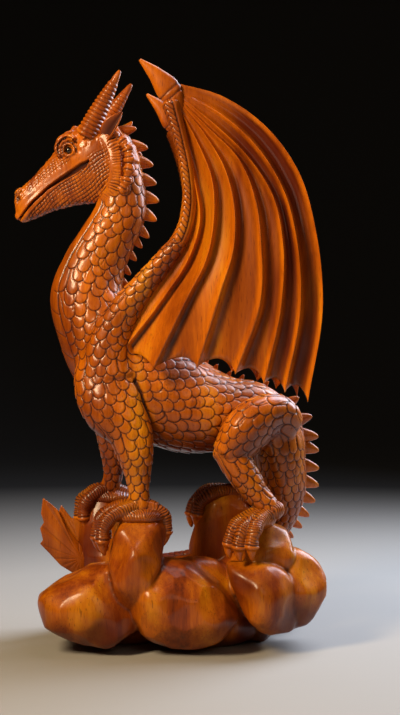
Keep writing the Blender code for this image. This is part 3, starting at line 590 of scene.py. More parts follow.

# %% [markdown]
# The cut itself. A groove a little over a millimetre wide runs round each scale, the free end stands up
# by nearly a millimetre, and each scale is slightly domed, so that each catches its own highlight. The
# band down the throat stays smooth but for a few cross lines, and the wing arm changes to a braid higher
# up. The undersides, the far legs and the tail are darkened with painted shade, over random stain.

# %% Cut the body
SCALE_CUT_HALF_WIDTH = 0.58
SCALE_CUT_DEPTH = 0.75
SCALE_LIFT = 0.85
SCALE_DOME = 0.14
BRAID_START = 392.0
BRAID_PITCH = 5.2
BRAID_ANGLE = 2.3
BRAID_HALF_WIDTH = 6.5
BRAID_ARM_RADIUS = 7.0
BRAID_SLANT = 0.2
BRAID_RISE = 0.8
BRAID_CUT_DEPTH = 0.9
FINE_CUT_HALF_WIDTH = 0.7
BAND_RISE = 0.45
BAND_EDGE_HALF_WIDTH = 0.9
BAND_EDGE_DEPTH = 0.9
BAND_EDGE_END = 255
CROSS_PITCH = 21
CROSS_SLANT = 0.5
CROSS_CUT_DEPTH = 0.6
CROSS_TOP = 350
CROSS_START = 60
CREASE_HALF_WIDTH = 1.7
CREASE_DEPTH = 1.8
# The crease behind the elbow lies between two values of X and below one of Z, that before the thigh
# between two values of X
ELBOW_FRONT, ELBOW_BACK, ELBOW_TOP = -84, 0, 268
THIGH_FRONT, THIGH_BACK = 0, 58
HIP_STATION = 12
# Painted shade on the faces that turn downwards, the tail past the hip and the far legs, with random stain on
# top and a cap on the total
UNDER_FROM = 0.2
UNDERSIDE_SHADE = 0.85
TAIL_SHADE = 1.0
FAR_LEG_SHADE = 0.35
UNEVEN_STAIN = 0.12
MOST_SHADE_AND_STAIN = 0.88

cut_and_shade = groove(edge_distance, SCALE_CUT_HALF_WIDTH)
height = SCALE_LIFT * lift + SCALE_DOME * dome - SCALE_CUT_DEPTH * cut_and_shade

is_spine = owner == 0
is_arm = np.isin(owner, [LIMB_NAMES.index("near_arm"), LIMB_NAMES.index("far_arm")])
band, share = belly_band(places)
on_band = is_spine & (band < 0)
band_edge = groove(band, BAND_EDGE_HALF_WIDTH) * is_spine * (share < BAND_EDGE_END)
cross_run = (places[:, 2] + np.abs(places[:, 1]) * CROSS_SLANT) / CROSS_PITCH
cross = groove((cross_run - np.round(cross_run)) * CROSS_PITCH, FINE_CUT_HALF_WIDTH)
cross = cross * (places[:, 2] < CROSS_TOP) * (share > CROSS_START)
height = np.where(on_band, BAND_RISE - CROSS_CUT_DEPTH * cross, height)
cut_and_shade = np.where(on_band, cross * 0.8, cut_and_shade)
height = height - BAND_EDGE_DEPTH * band_edge
cut_and_shade = np.maximum(cut_and_shade, band_edge)

handed = np.where(owner == LIMB_NAMES.index("near_arm"), 1.0, -1.0)
off_braid = np.abs((angle * handed - BRAID_ANGLE + math.pi) % (2 * math.pi) - math.pi) * BRAID_ARM_RADIUS
run = places[:, 2] / BRAID_PITCH + off_braid * BRAID_SLANT
braid = groove((run - np.round(run)) * BRAID_PITCH, FINE_CUT_HALF_WIDTH) * (off_braid < BRAID_HALF_WIDTH)
braid = np.maximum(braid, groove(off_braid - BRAID_HALF_WIDTH, FINE_CUT_HALF_WIDTH))
on_braid = is_arm & (places[:, 2] > BRAID_START)
plump = BRAID_RISE * np.sqrt(np.clip(1 - (off_braid / BRAID_HALF_WIDTH) ** 2, 0, 1))
height = np.where(on_braid, plump - BRAID_CUT_DEPTH * braid, height)
cut_and_shade = np.where(on_braid, braid, cut_and_shade)

sorted_off = np.sort(off, axis=0)
crease = groove((sorted_off[1] - sorted_off[0]) * LIMB_RADIUS, CREASE_HALF_WIDTH)
pair = np.argsort(off, axis=0)[:2]
spine_first = (pair == 0).any(axis=0)
legs = [LIMB_NAMES.index(n) for n in LIMB_NAMES if "foreleg" in n or "thigh" in n]
behind_elbow = (places[:, 0] > ELBOW_FRONT) & (places[:, 0] < ELBOW_BACK) & (places[:, 2] < ELBOW_TOP)
before_thigh = (places[:, 0] > THIGH_FRONT) & (places[:, 0] < THIGH_BACK)
crease = crease * spine_first * np.isin(pair, legs).any(axis=0) * (behind_elbow | before_thigh)
height = height - CREASE_DEPTH * crease
cut_and_shade = np.maximum(cut_and_shade, crease)

unevenness = 0.35 * lattice_noise(places, 17, 3) + 0.16 * lattice_noise(places, 7, 5)
set_places(body, places + normals * (height + unevenness)[:, None])
set_layer(body, "cut_and_shade", cut_and_shade)
patch = 0.5 + 0.3 * lattice_noise(places, 30, 16)
set_layer(body, "tint", np.where(on_band | on_braid, 0.5, patch + 0.5 * (tint - 0.5)))
spine = LIMBS["spine"]
hip = spine["length"][np.argmin(np.abs(spine["rows"][:, 0] - SPINE[HIP_STATION][0]))]
past_hip = np.clip((spine["length"][np.where(is_spine, row, 0)] - hip) / LIMB_RADIUS, 0, 1) * is_spine
# Painted shade on downward faces, the tail past the hip and the far legs, plus random stain
under = np.clip(UNDER_FROM - normals[:, 2], 0, 1) ** 1.2
far_leg = np.isin(owner, [LIMB_NAMES.index("far_foreleg"), LIMB_NAMES.index("far_shank")])
stain_and_shade = UNDERSIDE_SHADE * under + TAIL_SHADE * past_hip + FAR_LEG_SHADE * far_leg
stain_and_shade = stain_and_shade + UNEVEN_STAIN * lattice_noise(places, 24, 15)
set_layer(body, "dark", np.clip(stain_and_shade, 0, MOST_SHADE_AND_STAIN))
thinned(body, BODY_TRIANGLES)
print("body cut; deepest", round(float(height.min()), 2), "mm")

# %% [markdown]
# A very fine mesh is easier to handle in two pieces. The body is parted across the ribs, where the wings
# hide most of the joint, and each half is closed with a flat face that nothing can see.

# %% Part the body
PARTING_X = -34.0
ARMS_ABOVE = 330.0


def sliced(mesh, place, normal, drop=False):
    """The mesh open for work and cut along a plane, without what lies past it if asked."""
    work = bmesh.new()
    work.from_mesh(mesh)
    bmesh.ops.bisect_plane(
        work, geom=[*work.verts, *work.edges, *work.faces], dist=1e-7,
        plane_co=[c * MM for c in place], plane_no=normal, clear_outer=drop,
    )
    return work


def closed_up(work, mesh):
    """Writes the mesh with its open borders filled by flat faces that keep a hard edge."""
    open_edges = [e for e in work.edges if len(e.link_faces) == 1]
    closing = bmesh.ops.holes_fill(work, edges=open_edges, sides=0)["faces"]
    bmesh.ops.triangulate(work, faces=closing)
    for edge in open_edges:
        edge.smooth = False
    work.to_mesh(mesh)
    work.free()
    mesh.shade_smooth()


def parted(thing, name, keep_front):
    """A closed copy of one half of the body."""
    work = sliced(thing.data, (PARTING_X, 0, 0), (1, 0, 0))
    away = []
    for face in work.faces:
        middle = face.calc_center_median()
        in_front = middle.x < PARTING_X * MM or middle.z > ARMS_ABOVE * MM
        if in_front != keep_front:
            away.append(face)
    bmesh.ops.delete(work, geom=away, context="FACES")
    mesh = bpy.data.meshes.new(name)
    closed_up(work, mesh)
    return placed(name, mesh)


front_body = parted(body, "neck_chest_and_forelegs", True)
rear_body = parted(body, "belly_hind_legs_and_tail", False)
bpy.data.objects.remove(body)
PIECES = [front_body, rear_body]
for piece in PIECES:
    print(piece.name, len(piece.data.polygons), "faces")

# %% [markdown]
# The head has its own frame, because it hangs down and is turned a little away: p runs along the snout,
# q up from the jaw and r out to the side, positive on the near side. It is where the eye goes first, so
# its skin is finer than the body's.

# %% The head's frame and masses
HEAD_CENTRE = (-100, 0, 475.5)
HEAD_TIP_DOWN = 33.0
HEAD_TURN = 8.0
HEAD_VOXEL = 0.62
HEAD_SHAPE = (
    (-36, 27, -6, 11), (-22, 34, -23, 18), (-8, 40, -31, 22), (5, 43.5, -33.5, 22), (16, 43, -32.5, 20),
    (26, 39, -29, 17), (38, 34.5, -22.5, 14.5), (52, 31, -16.5, 12.5), (66, 27.5, -12, 11.3),
    (78, 26, -9.2, 11.3), (85, 25.3, -8, 11), (91, 20.5, -6.5, 9.5), (98, 7, -3.5, 5.5),
)
MOUTH_LINE = (
    (5.5, 4.6, 0.7), (9, 4.2, 1.3), (14, 4.6, 1.7), (22, 5.2, 1.75), (30, 6.0, 1.45), (42, 7.2, 1.1),
    (56, 7.6, 0.75), (75, 4.8, 0.7), (97, -0.8, 0.65), (104, -2.8, 0.6),
)
LIP_EDGE = (
    (5, 2.6), (16.8, 1.2), (29.8, 1.6), (42.3, 2.9), (58.9, 1.9), (75.3, -0.8), (95.4, -5.3), (104, -8),
)
EYE_PLACE = (16.4, 25.5, 17.6)
EYE_BEAD_DIAMETER = 7.0
EYE_BEAD_SHOWING = 2.6
LIDS = (
    (21.8, 28, 16.6), (18.6, 31.8, 17.4), (13.8, 32, 18), (10.4, 28.6, 18.6), (10.2, 23.4, 19),
    (13.4, 20, 19), (18.4, 20.2, 18), (21.6, 23.6, 17),
)
BROW = (
    (27.5, 27, 15.3), (26.8, 32, 15.5), (23.6, 37, 16), (18, 39.8, 16.5), (12, 39.6, 17.6),
    (7.6, 36, 19.4), (5.6, 31.5, 20.4),
)
BROW_RADII = (3.4, 2.7)
UNDER_BROW = (
    (24.6, 26, 15.2), (24.0, 30.5, 15.4), (20.8, 34.6, 16.2), (15, 35.8, 17.2), (10, 33.6, 18.2),
    (7.4, 29, 19.2),
)
CREST_KNOBS = (
    (1.6, 42.5, 6, 4), (-3, 39, 12, 3.4), (10.5, 43, 6, 3.6), (16, 42.5, 3, 3.2), (5.4, 41.5, 11, 2.8),
    (-3.4, 33, 18, 2.6), (-3.8, 26.5, 20, 2.6), (21, 40.5, 8, 2.8), (26, 38.5, 4, 2.6),
)
CHEEK_FRILL = (
    (-22, 19, 17.5), (-22, 10, 20), (-19.5, -3, 22), (-13, -15, 22.5), (-6, -24, 21.5), (3, -31, 18.5),
    (14, -34.5, 12.5),
)
NECK_RUFF = (
    (-27, 15, 16), (-33, 3, 19.5), (-33.5, -9, 22), (-28, -20, 22.5), (-19, -30, 21.5), (-7, -37, 17.5),
    (6, -39, 12),
)
RUFF_FOLDS = 8
FRILL_RADII = (2.3, 7.8)
# Folds of skin are parted by deep lines, one round the lids and one under the brow
EYE_FOLDS = (
    ((23.4, 26.5), (21.6, 31.2), (17, 34), (12.2, 32.9), (8.8, 28.8), (8.4, 23.5), (10.5, 18.5)),
    ((26.2, 28.5), (25.4, 31.4), (22.3, 35.9), (16.6, 37.9), (11, 36.7), (6.8, 32.5), (5.8, 27)),
)
HEAD_TRIANGLES = 186000
# The power that squares the head's cross section a little, and the radii of ridges and lumps in p, q, r
HEAD_SQUARENESS = 0.85
LID_RADII = (2.6, 1.7)
UNDER_BROW_RADII = (2.0, 1.5)
RUFF_RADIUS, RUFF_SWELL = 3.4, 2.2
NOSTRIL_LUMP = (82.5, 22.5, 7), (4.6, 3.2, 3.6)
NOSE_LUMP = (95.5, 3, 3.5), (5, 5, 4)
SKULL_TO_NECK = ((-28, 2, 15, 12), (-20, -8, 20, 15))


def head_axes():
    """The head's forward, up and near-side directions."""
    turn, tip = math.radians(HEAD_TURN), math.radians(HEAD_TIP_DOWN)
    level = np.array((-math.cos(turn), math.sin(turn), 0))
    near_side = np.array((-math.sin(turn), -math.cos(turn), 0))
    rise = np.array((0, 0, 1))
    forward = math.cos(tip) * level - math.sin(tip) * rise
    up = math.sin(tip) * level + math.cos(tip) * rise
    return forward, up, near_side


HEAD_FORWARD, HEAD_UP, HEAD_OUT = head_axes()


def head_point(p, q, r):
    return np.array(HEAD_CENTRE) + p * HEAD_FORWARD + q * HEAD_UP + r * HEAD_OUT


def head_places(places):
    """Each place in the head's frame."""
    off = places - np.array(HEAD_CENTRE)
    return np.c_[off @ HEAD_FORWARD, off @ HEAD_UP, off @ HEAD_OUT]


def head_line(line, side, radii, rows=40, around=14):
    """A raised ridge along a line of p, q and r, with its radii outwards and along the cheek."""
    radii = np.array(radii, float) * np.ones((len(line), 2))
    stations = [(*head_point(p, q, r * side), *radius) for (p, q, r), radius in zip(line, radii)]
    return tube(stations, HEAD_OUT, rows, around)


def sphere_directions(rows, around, from_pole):
    """Directions in rings from pole to pole, the first and last an angle away from it."""
    polar = np.linspace(from_pole, math.pi - from_pole, rows)[:, None]
    turn = np.linspace(0, 2 * math.pi, around, endpoint=False)
    out = np.sin(polar)
    return np.stack([out * np.cos(turn), out * np.sin(turn), np.cos(polar) + 0 * turn], -1)


def ellipsoid(centre, radii, axes, rows=14, around=20):
    ball = sphere_directions(rows, around, 0.05)
    return skin(np.array(centre) + (ball * np.array(radii)) @ np.array(axes))


def bent(values, power):
    """Values between -1 and 1 raised to a power with their signs kept."""
    return np.sign(values) * np.abs(values) ** power


shape = np.array(HEAD_SHAPE, float)
shape = smooth_rows(np.c_[shape[:, 0], shape[:, 1:3].mean(axis=1), shape], 90)
turns = np.linspace(0, 2 * math.pi, 72, endpoint=False)
up_share, out_share = bent(np.cos(turns), HEAD_SQUARENESS), bent(np.sin(turns), HEAD_SQUARENESS)
rings = []
for p, q, _, top, bottom, width in shape:
    high = (top - bottom) / 2
    ring = np.outer(up_share * high, HEAD_UP) + np.outer(out_share * width, HEAD_OUT)
    rings.append(head_point(p, q, 0) + ring)
clay = [skin(np.array(rings))]
axes = (HEAD_FORWARD, HEAD_UP, HEAD_OUT)
for side in (1, -1):
    clay.append(head_line([*LIDS, LIDS[0]], side, LID_RADII))
    clay.append(head_line(UNDER_BROW, side, UNDER_BROW_RADII))
    clay.append(head_line(BROW, side, BROW_RADII))
    clay.append(head_line(CHEEK_FRILL, side, FRILL_RADII, rows=60))
    folds = smooth_rows(NECK_RUFF, RUFF_FOLDS * 8 + 1)
    swell = RUFF_RADIUS + RUFF_SWELL * np.abs(np.sin(np.linspace(0, RUFF_FOLDS * math.pi, len(folds))))
    rows = np.array([(*head_point(p, q, r * side), 0.9 * s, 1.1 * s) for (p, q, r), s in zip(folds, swell)])
    clay.append(loft(rows, HEAD_OUT, 16))
    for p, q, r, size in CREST_KNOBS:
        clay.append(ellipsoid(head_point(p, q, r * side), (size, size * 0.8, size), axes))
    for (p, q, r), radii in (NOSTRIL_LUMP, NOSE_LUMP):
        clay.append(ellipsoid(head_point(p, q, r * side), radii, axes))
clay.append(tube([(*head_point(p, q, 0), high, wide) for p, q, high, wide in SKULL_TO_NECK], HEAD_UP))
head = pressed("head", clay, HEAD_VOXEL, 3)
places, normals = places_of(head)
print("head:", len(places), "points")

# %% [markdown]
# Cutting the head: the mouth is a deep slot with a smooth lip below it. The jaw and cheek are scored in
# small cells, the frill behind the cheek has fine ridges that run outwards, and the snout is stippled
# with bumps. Each is a distance to a line, or to a grid bent along the jaw, turned into a depth.

# %% Cut the head
JAW_CELL = (3.7, 3.2)
FRILL_PITCH = 2.8
RUFF_PITCH = 6.0
NOSTRIL, NOSTRIL_SIZE = (87, 17), (2.2, 3.0)
# Heights and depths of the cuts in millimetres
LIP_LIFT = 0.9
UPPER_LIP_LIFT = 0.5
MOUTH_DEPTH = 4.6
LIP_CUT_DEPTH = 0.5
CELL_DEPTH = 0.75
FRILL_DEPTH = 1.0
RUFF_DEPTH = 0.9
STIPPLE_HEIGHT = 0.35
SOCKET_DEPTH = 1.8
NOSTRIL_DEPTH = 1.9
FOLD_DEPTH = 1.5
# Past this far from the middle plane a place is on a cheek, not on the crown or the throat
CHEEK_FROM = 9


def line_distance(line, p, q):
    """How far each p, q is from a line, where along it the nearest point is, and which side it is on."""
    line = np.array(line, float)
    best = np.full(len(p), 1e9)
    where = np.zeros(len(p))
    below = np.zeros(len(p))
    run = 0.0
    for a, b in zip(line[:-1], line[1:]):
        step = b[:2] - a[:2]
        long = np.linalg.norm(step)
        t = np.clip(((p - a[0]) * step[0] + (q - a[1]) * step[1]) / long**2, 0, 1)
        off = np.hypot(p - a[0] - t * step[0], q - a[1] - t * step[1])
        closer = off < best
        best = np.where(closer, off, best)
        where = np.where(closer, run + t * long, where)
        below = np.where(closer, step[0] * (q - a[1]) - step[1] * (p - a[0]), below)
        run += long
    return best, where, np.sign(below)


p, q, r = head_places(places).T
sideways = np.clip((np.abs(normals @ HEAD_OUT) - 0.2) / 0.4, 0, 1)
mouth_gap, _, _ = line_distance([m[:2] for m in MOUTH_LINE], p, q)
mouth_rows = np.array(MOUTH_LINE)
mouth_half = 1.7 * np.interp(p, mouth_rows[:, 0], mouth_rows[:, 2])
mouth = np.exp(-((mouth_gap / mouth_half) ** 4)) * np.clip((np.abs(normals @ HEAD_OUT) - 0.1) / 0.2, 0, 1)
lip_gap, _, _ = line_distance(LIP_EDGE, p, q)
lip_line = np.interp(p, [l[0] for l in LIP_EDGE], [l[1] for l in LIP_EDGE])
mouth_line = np.interp(p, mouth_rows[:, 0], mouth_rows[:, 1])
lip = np.clip((q - lip_line) / 0.8, 0, 1) * np.clip((mouth_line - q) / 0.8, 0, 1) * (p > 4) * sideways
upper_lip = np.clip((q - mouth_line) / 0.8, 0, 1) * np.clip((mouth_line + 5 - q) / 2.5, 0, 1)
upper_lip = upper_lip * (p > 12) * sideways

frill_gap, frill_run, frill_side = line_distance([f[:2] for f in CHEEK_FRILL], p, q)
past_frill = -frill_side * frill_gap
on_cheek = np.abs(r) > CHEEK_FROM
on_frill = np.clip((past_frill + 5) / 2, 0, 1) * np.clip((9.0 - past_frill) / 1.5, 0, 1) * on_cheek
frill_phase = frill_run / FRILL_PITCH + 0.45 * lattice_noise(places, 8, 71)
frill_ridge = groove((frill_phase % 1 - 0.5) * FRILL_PITCH, 0.62)
frill_ridge = frill_ridge * np.clip(0.8 + 0.6 * lattice_noise(places, 6, 73), 0.2, 1)
frill_ridge = frill_ridge * np.clip((past_frill + 1.5 - 2 * lattice_noise(places, 5, 74)) / 2.5, 0, 1)
ruff_gap, ruff_run, _ = line_distance([f[:2] for f in NECK_RUFF], p, q)
on_ruff = np.clip((6 - ruff_gap) / 1.5, 0, 1) * (1 - on_frill) * on_cheek
ruff_phase = ruff_run / RUFF_PITCH + 0.35 * lattice_noise(places, 8, 72)
ruff_ridge = groove((ruff_phase % 1 - 0.5) * RUFF_PITCH, 0.9)

rows_down = (q - lip_line) / JAW_CELL[1] + 0.3 * lattice_noise(places, 9, 11)
rows_along = (p + 0.3 * q) / JAW_CELL[0] + 0.35 * lattice_noise(places, 8, 12)
cells = np.maximum(
    groove((rows_down - np.round(rows_down)) * JAW_CELL[1], 0.55),
    groove((rows_along - np.round(rows_along)) * JAW_CELL[0], 0.5) * 0.85,
)
cells = cells * np.clip(0.95 + 0.5 * lattice_noise(places, 7, 13), 0.5, 1)
jaw = np.clip((lip_line - q) / 0.6, 0, 1) * (p > 0)
cheek = np.clip((6 - p) / 6, 0, 1) * np.clip((11 - q) / 5, 0, 1) * (p > -26)
above_lip = (p > 20) * np.clip((q - mouth_line - 9) / 3, 0, 1) * 0.7
scored = np.clip(jaw + cheek + above_lip, 0, 1) * (1 - on_frill) * (1 - on_ruff)
stipple = 0.6 * lattice_noise(places, 2.6, 21) + 0.6 * lattice_noise(places, 4.5, 22)
snout = np.clip((q - mouth_line - 7) / 4, 0, 1) * (p > 24) * (1 - on_frill)
forehead = np.clip((q - 14) / 5, 0, 1) * (p <= 24) * (p > -20) * (1 - on_frill)
eye_gap = np.hypot(p - EYE_PLACE[0], q - EYE_PLACE[1])
socket = np.exp(-((eye_gap / 3.7) ** 4)) * sideways * (np.abs(r) > 10)
folds = np.zeros(len(places))
for line in EYE_FOLDS:
    folds = np.maximum(folds, groove(line_distance(line, p, q)[0], 0.8))
folds = folds * np.clip(np.abs(normals @ HEAD_OUT) * 2, 0, 1) * on_cheek
off_nostril = ((p - NOSTRIL[0]) / NOSTRIL_SIZE[0]) ** 2 + ((q - NOSTRIL[1]) / NOSTRIL_SIZE[1]) ** 2
nostril = np.exp(-off_nostril) * sideways
rough = stipple * np.clip(snout + 2.2 * forehead, 0, 2.2) * (1 - lip) * np.clip((eye_gap - 4) / 2, 0, 1)

height = (
    -MOUTH_DEPTH * mouth + LIP_LIFT * lip + UPPER_LIP_LIFT * upper_lip
    - CELL_DEPTH * cells * scored
    - FRILL_DEPTH * frill_ridge * on_frill
    - RUFF_DEPTH * ruff_ridge * on_ruff
    + STIPPLE_HEIGHT * rough
    - SOCKET_DEPTH * socket - NOSTRIL_DEPTH * nostril - FOLD_DEPTH * folds
    + 0.25 * lattice_noise(places, 12, 8)
)
lip_cut = groove(lip_gap, 0.7) * sideways * (p > 8)
height = height - LIP_CUT_DEPTH * lip_cut
cut_and_shade = np.clip(
    0.95 * mouth + 0.95 * cells * scored + 0.9 * frill_ridge * on_frill + 0.8 * ruff_ridge * on_ruff
    + 0.5 * lip_cut + 0.15 * socket + 0.9 * nostril + 0.85 * folds, 0, 1,
)
# Painted shade in the head's hollows, not on the jaw or in the eye socket
cut_and_shade = np.maximum(cut_and_shade, np.clip(hollows_of(head, 14) / 0.75, 0, 0.9) * (1 - jaw) * (1 - socket))
set_places(head, places + normals * height[:, None])
set_layer(head, "cut_and_shade", cut_and_shade)
set_layer(head, "tint", 0.55 + 0.2 * stipple * snout)
thinned(head, HEAD_TRIANGLES)
head.data.shade_smooth()
PIECES.append(head)

# %% [markdown]
# The ears are cupped leaves: a curved sheet with a thickness, its hollow turned up and outwards.

# %% Ears
EAR_LINE = ((-19, 13, 17), (-26, 15, 21), (-34, 18, 23.5), (-41.5, 21, 25), (-49, 24.5, 26))
EAR_HALF_WIDTHS = (4.6, 6.8, 6.6, 4.2, 0.7)
EAR_CUP = 6.5
EAR_THICKNESS = 1.9
EAR_ROWS = 30
EAR_COLUMNS = 19


def closed_slab(name, outer, inner):
    """A closed body between two grids of points, their borders joined."""
    rows, columns = outer.shape[:2]
    points = np.concatenate([outer.reshape(-1, 3), inner.reshape(-1, 3)])
    back = rows * columns
    i = (np.arange(rows - 1) * columns)[:, None]
    j = np.arange(columns - 1)[None, :]
    front = np.stack([i + j, i + j + 1, i + columns + j + 1, i + columns + j], axis=-1).reshape(-1, 4)
    faces = front.tolist() + (front[:, ::-1] + back).tolist()
    border = [i * columns for i in range(rows)]
    border += [(rows - 1) * columns + j for j in range(1, columns)]
    border += [i * columns + columns - 1 for i in range(rows - 2, -1, -1)]
    border += list(range(columns - 2, 0, -1))
    faces += [[a, b, back + b, back + a] for a, b in zip(border, border[1:] + border[:1])]
    made = mesh_object(name, *facing_out(points, faces))
    made.data.shade_smooth()
    return made


for side, word in ((1, "left"), (-1, "right")):
    line = smooth_rows(EAR_LINE, EAR_ROWS)
    half = smooth_rows([(i, 0, 0, w) for i, w in enumerate(EAR_HALF_WIDTHS)], EAR_ROWS)[:, 3]
    centres = np.array([head_point(p, q, r * side) for p, q, r in line])
    _, ups, _ = carried_frame(centres, HEAD_UP)
    u = np.linspace(-1, 1, EAR_COLUMNS)
    cup = HEAD_OUT * side * 0.8 + HEAD_UP * 0.6
    outer = centres[:, None] + u[None, :, None] * half[:, None, None] * ups[:, None]
    outer = outer + (EAR_CUP * (half / 7)[:, None] * (u**2)[None, :])[..., None] * cup
    inner = outer - cup * EAR_THICKNESS * np.minimum(1, half / 3)[:, None, None]
    ear = closed_slab(f"{word}_ear", outer, inner)
    hollow = np.tile(1 - u**2, (EAR_ROWS, 1)).ravel()
    # Painted shade in the cup of the ear, on its cupped face only
    set_layer(ear, "cut_and_shade", np.r_[0.95 * hollow**0.8, 0 * hollow])
    set_layer(ear, "tint", 0.75)
    PIECES.append(ear)

# %% [markdown]
# Horns and spikes repeat one form, so Geometry Nodes make them. A horn is a curve whose radius shrinks
# to the tip and swells at each ring. The spikes are one blade set on points along the ridge. Both trees
# have named inputs and are turned into plain meshes afterwards.

# %% One function that adds a node


def add(tree, kind, inputs=(), **settings):
    """Adds a node with its settings, and sets or links its inputs by name or number."""
    made = tree.nodes.new(kind)
    for name, value in settings.items():
        setattr(made, name, value)
    for key, value in dict(inputs).items():
        if isinstance(value, bpy.types.NodeSocket):
            tree.links.new(value, made.inputs[key])
        else:
            made.inputs[key].default_value = value
    return made


def new_tree(name, inputs):
    """A geometry tree with a geometry in and out, and inputs given as name, kind and default."""
    tree = bpy.data.node_groups.new(name, "GeometryNodeTree")
    tree.interface.new_socket("Geometry", in_out="INPUT", socket_type="NodeSocketGeometry")
    for label, kind, value in inputs:
        socket = tree.interface.new_socket(label, in_out="INPUT", socket_type=f"NodeSocket{kind}")
        if value is not None:
            socket.default_value = value
    tree.interface.new_socket("Geometry", in_out="OUTPUT", socket_type="NodeSocketGeometry")
    return tree, tree.nodes.new("NodeGroupInput").outputs


def grown(thing, tree, values, name):
    """The tree's result on an object as a plain mesh object."""
    step = thing.modifiers.new("grow", "NODES")
    step.node_group = tree
    for item in tree.interface.items_tree:
        if item.in_out == "INPUT" and item.name in values:
            step[item.identifier] = values[item.name]
    mesh = shown_mesh(thing)
    bpy.data.objects.remove(thing)
    return placed(name, mesh)


# %% [markdown]
# The finish comes before the horns and spikes, because their trees set it. The wood is raintree, a warm
# brown with soft upright bands and short dark pores. Stain is left in the cuts, and painted shade darkens
# the hollows, the undersides and the parts that face away from the light, in the same layers. The lacquer
# over it is a clear coat that gives the small, sharp highlights on each scale.

# %% The wood and its lacquer
# Lumps of noise to a metre, before the grain is drawn out upright: bands 38 mm apart, fibres of 3 mm and
# pores of 1.1 mm, which is a little coarser than real pores so that they show
BANDS_PER_METRE = 26.0
FIBRES_PER_METRE = 330.0
PORES_PER_METRE = 900.0
BAND_DRAW, PORE_DRAW = 0.13, 0.09
FIBRE_SHARE = 0.22
# The colour of painted shade, and of random stain, that the dark layer mixes in
SHADE_AND_STAIN_COLOUR = "#561502"


def linear(code):
    """A colour from its sRGB hex value."""
    parts = [int(code[i:i + 2], 16) / 255 for i in (1, 3, 5)]
    return tuple(c / 12.92 if c <= 0.04045 else ((c + 0.055) / 1.055) ** 2.4 for c in parts) + (1.0,)


def ramp(tree, source, stops):
    """A colour ramp with stops of position and hex colour."""
    made = add(tree, "ShaderNodeValToRGB", {"Fac": source})
    band = made.color_ramp
    while len(band.elements) < len(stops):
        band.elements.new(0.5)
    for element, (place, code) in zip(band.elements, stops):
        element.position = place
        element.color = linear(code)
    return made.outputs["Color"]


def carved_wood(name, stops, pore_colour, cut_and_shade_colour, roughness, coat, coat_roughness):
    """Lacquered raintree wood: upright grain in soft bands, short dark pores, dark stain in the cuts, and
    painted shade in hollows and on shaded parts.
    """
    made = bpy.data.materials.new(name)
    made.use_nodes = True
    tree = made.node_tree
    shader = tree.nodes["Principled BSDF"]
    place = add(tree, "ShaderNodeTexCoord").outputs["Object"]
    upright = add(tree, "ShaderNodeMapping", {
        "Vector": place, "Scale": (1.0, 1.0, BAND_DRAW),
    }).outputs["Vector"]
    bands = add(tree, "ShaderNodeTexNoise", {
        "Vector": upright, "Scale": BANDS_PER_METRE, "Detail": 4.0, "Roughness": 0.55, "Distortion": 0.6,
    }).outputs["Fac"]
    fine = add(tree, "ShaderNodeTexNoise", {
        "Vector": upright, "Scale": FIBRES_PER_METRE, "Detail": 3.0, "Roughness": 0.6,
    }).outputs["Fac"]
    tone = fine
    for operation, other in (("MULTIPLY", FIBRE_SHARE), ("ADD", bands), ("ADD", -FIBRE_SHARE / 2)):
        tone = add(tree, "ShaderNodeMath", {0: tone, 1: other}, operation=operation).outputs[0]
    colour = ramp(tree, tone, stops)
    pores = add(tree, "ShaderNodeMapping", {
        "Vector": place, "Scale": (1.0, 1.0, PORE_DRAW),
    }).outputs["Vector"]
    pores = add(tree, "ShaderNodeTexNoise", {
        "Vector": pores, "Scale": PORES_PER_METRE, "Detail": 1.0,
    }).outputs["Fac"]
    pores = add(tree, "ShaderNodeMapRange", {
        "Value": pores, "From Min": 0.62, "From Max": 0.74, "To Max": 0.55,
    })
    colour = add(tree, "ShaderNodeMix", {
        0: pores.outputs["Result"], 6: colour, 7: linear(pore_colour),
    }, data_type="RGBA").outputs[2]
    tint = add(tree, "ShaderNodeAttribute", attribute_name="tint").outputs["Fac"]
    shade = add(tree, "ShaderNodeMapRange", {"Value": tint, "To Min": 0.82, "To Max": 1.2}).outputs["Result"]
    colour = add(tree, "ShaderNodeHueSaturation", {"Value": shade, "Color": colour}).outputs["Color"]
    # The dark layer mixes in painted shade and random stain
    dark = add(tree, "ShaderNodeAttribute", attribute_name="dark").outputs["Fac"]
    colour = add(tree, "ShaderNodeMix", {
        0: dark, 6: colour, 7: linear(SHADE_AND_STAIN_COLOUR),
    }, data_type="RGBA").outputs[2]
    # The cut layer darkens the cuts with stain, and also carries painted shade in hollows and painted shadow
    # strips
    cut_and_shade = add(tree, "ShaderNodeAttribute", attribute_name="cut_and_shade").outputs["Fac"]
    cut_and_shade_mix = add(tree, "ShaderNodeMapRange", {
        "Value": cut_and_shade, "From Min": 0.15, "From Max": 0.85, "To Max": 0.95,
    })
    colour = add(tree, "ShaderNodeMix", {
        0: cut_and_shade_mix.outputs["Result"], 6: colour, 7: linear(cut_and_shade_colour),
    }, data_type="RGBA").outputs[2]
    tree.links.new(colour, shader.inputs["Base Color"])
    dull = add(tree, "ShaderNodeMapRange", {
        "Value": cut_and_shade, "To Min": roughness, "To Max": roughness + 0.25,
    }).outputs["Result"]
    tree.links.new(dull, shader.inputs["Roughness"])
    bump = add(tree, "ShaderNodeBump", {"Strength": 0.25, "Distance": 0.0003, "Height": fine})
    tree.links.new(bump.outputs["Normal"], shader.inputs["Normal"])
    shader.inputs["IOR"].default_value = 1.5
    shader.inputs["Specular IOR Level"].default_value = 0.2
    shader.inputs["Coat Weight"].default_value = coat
    shader.inputs["Coat Roughness"].default_value = coat_roughness
    shader.inputs["Coat IOR"].default_value = 1.5
    return made


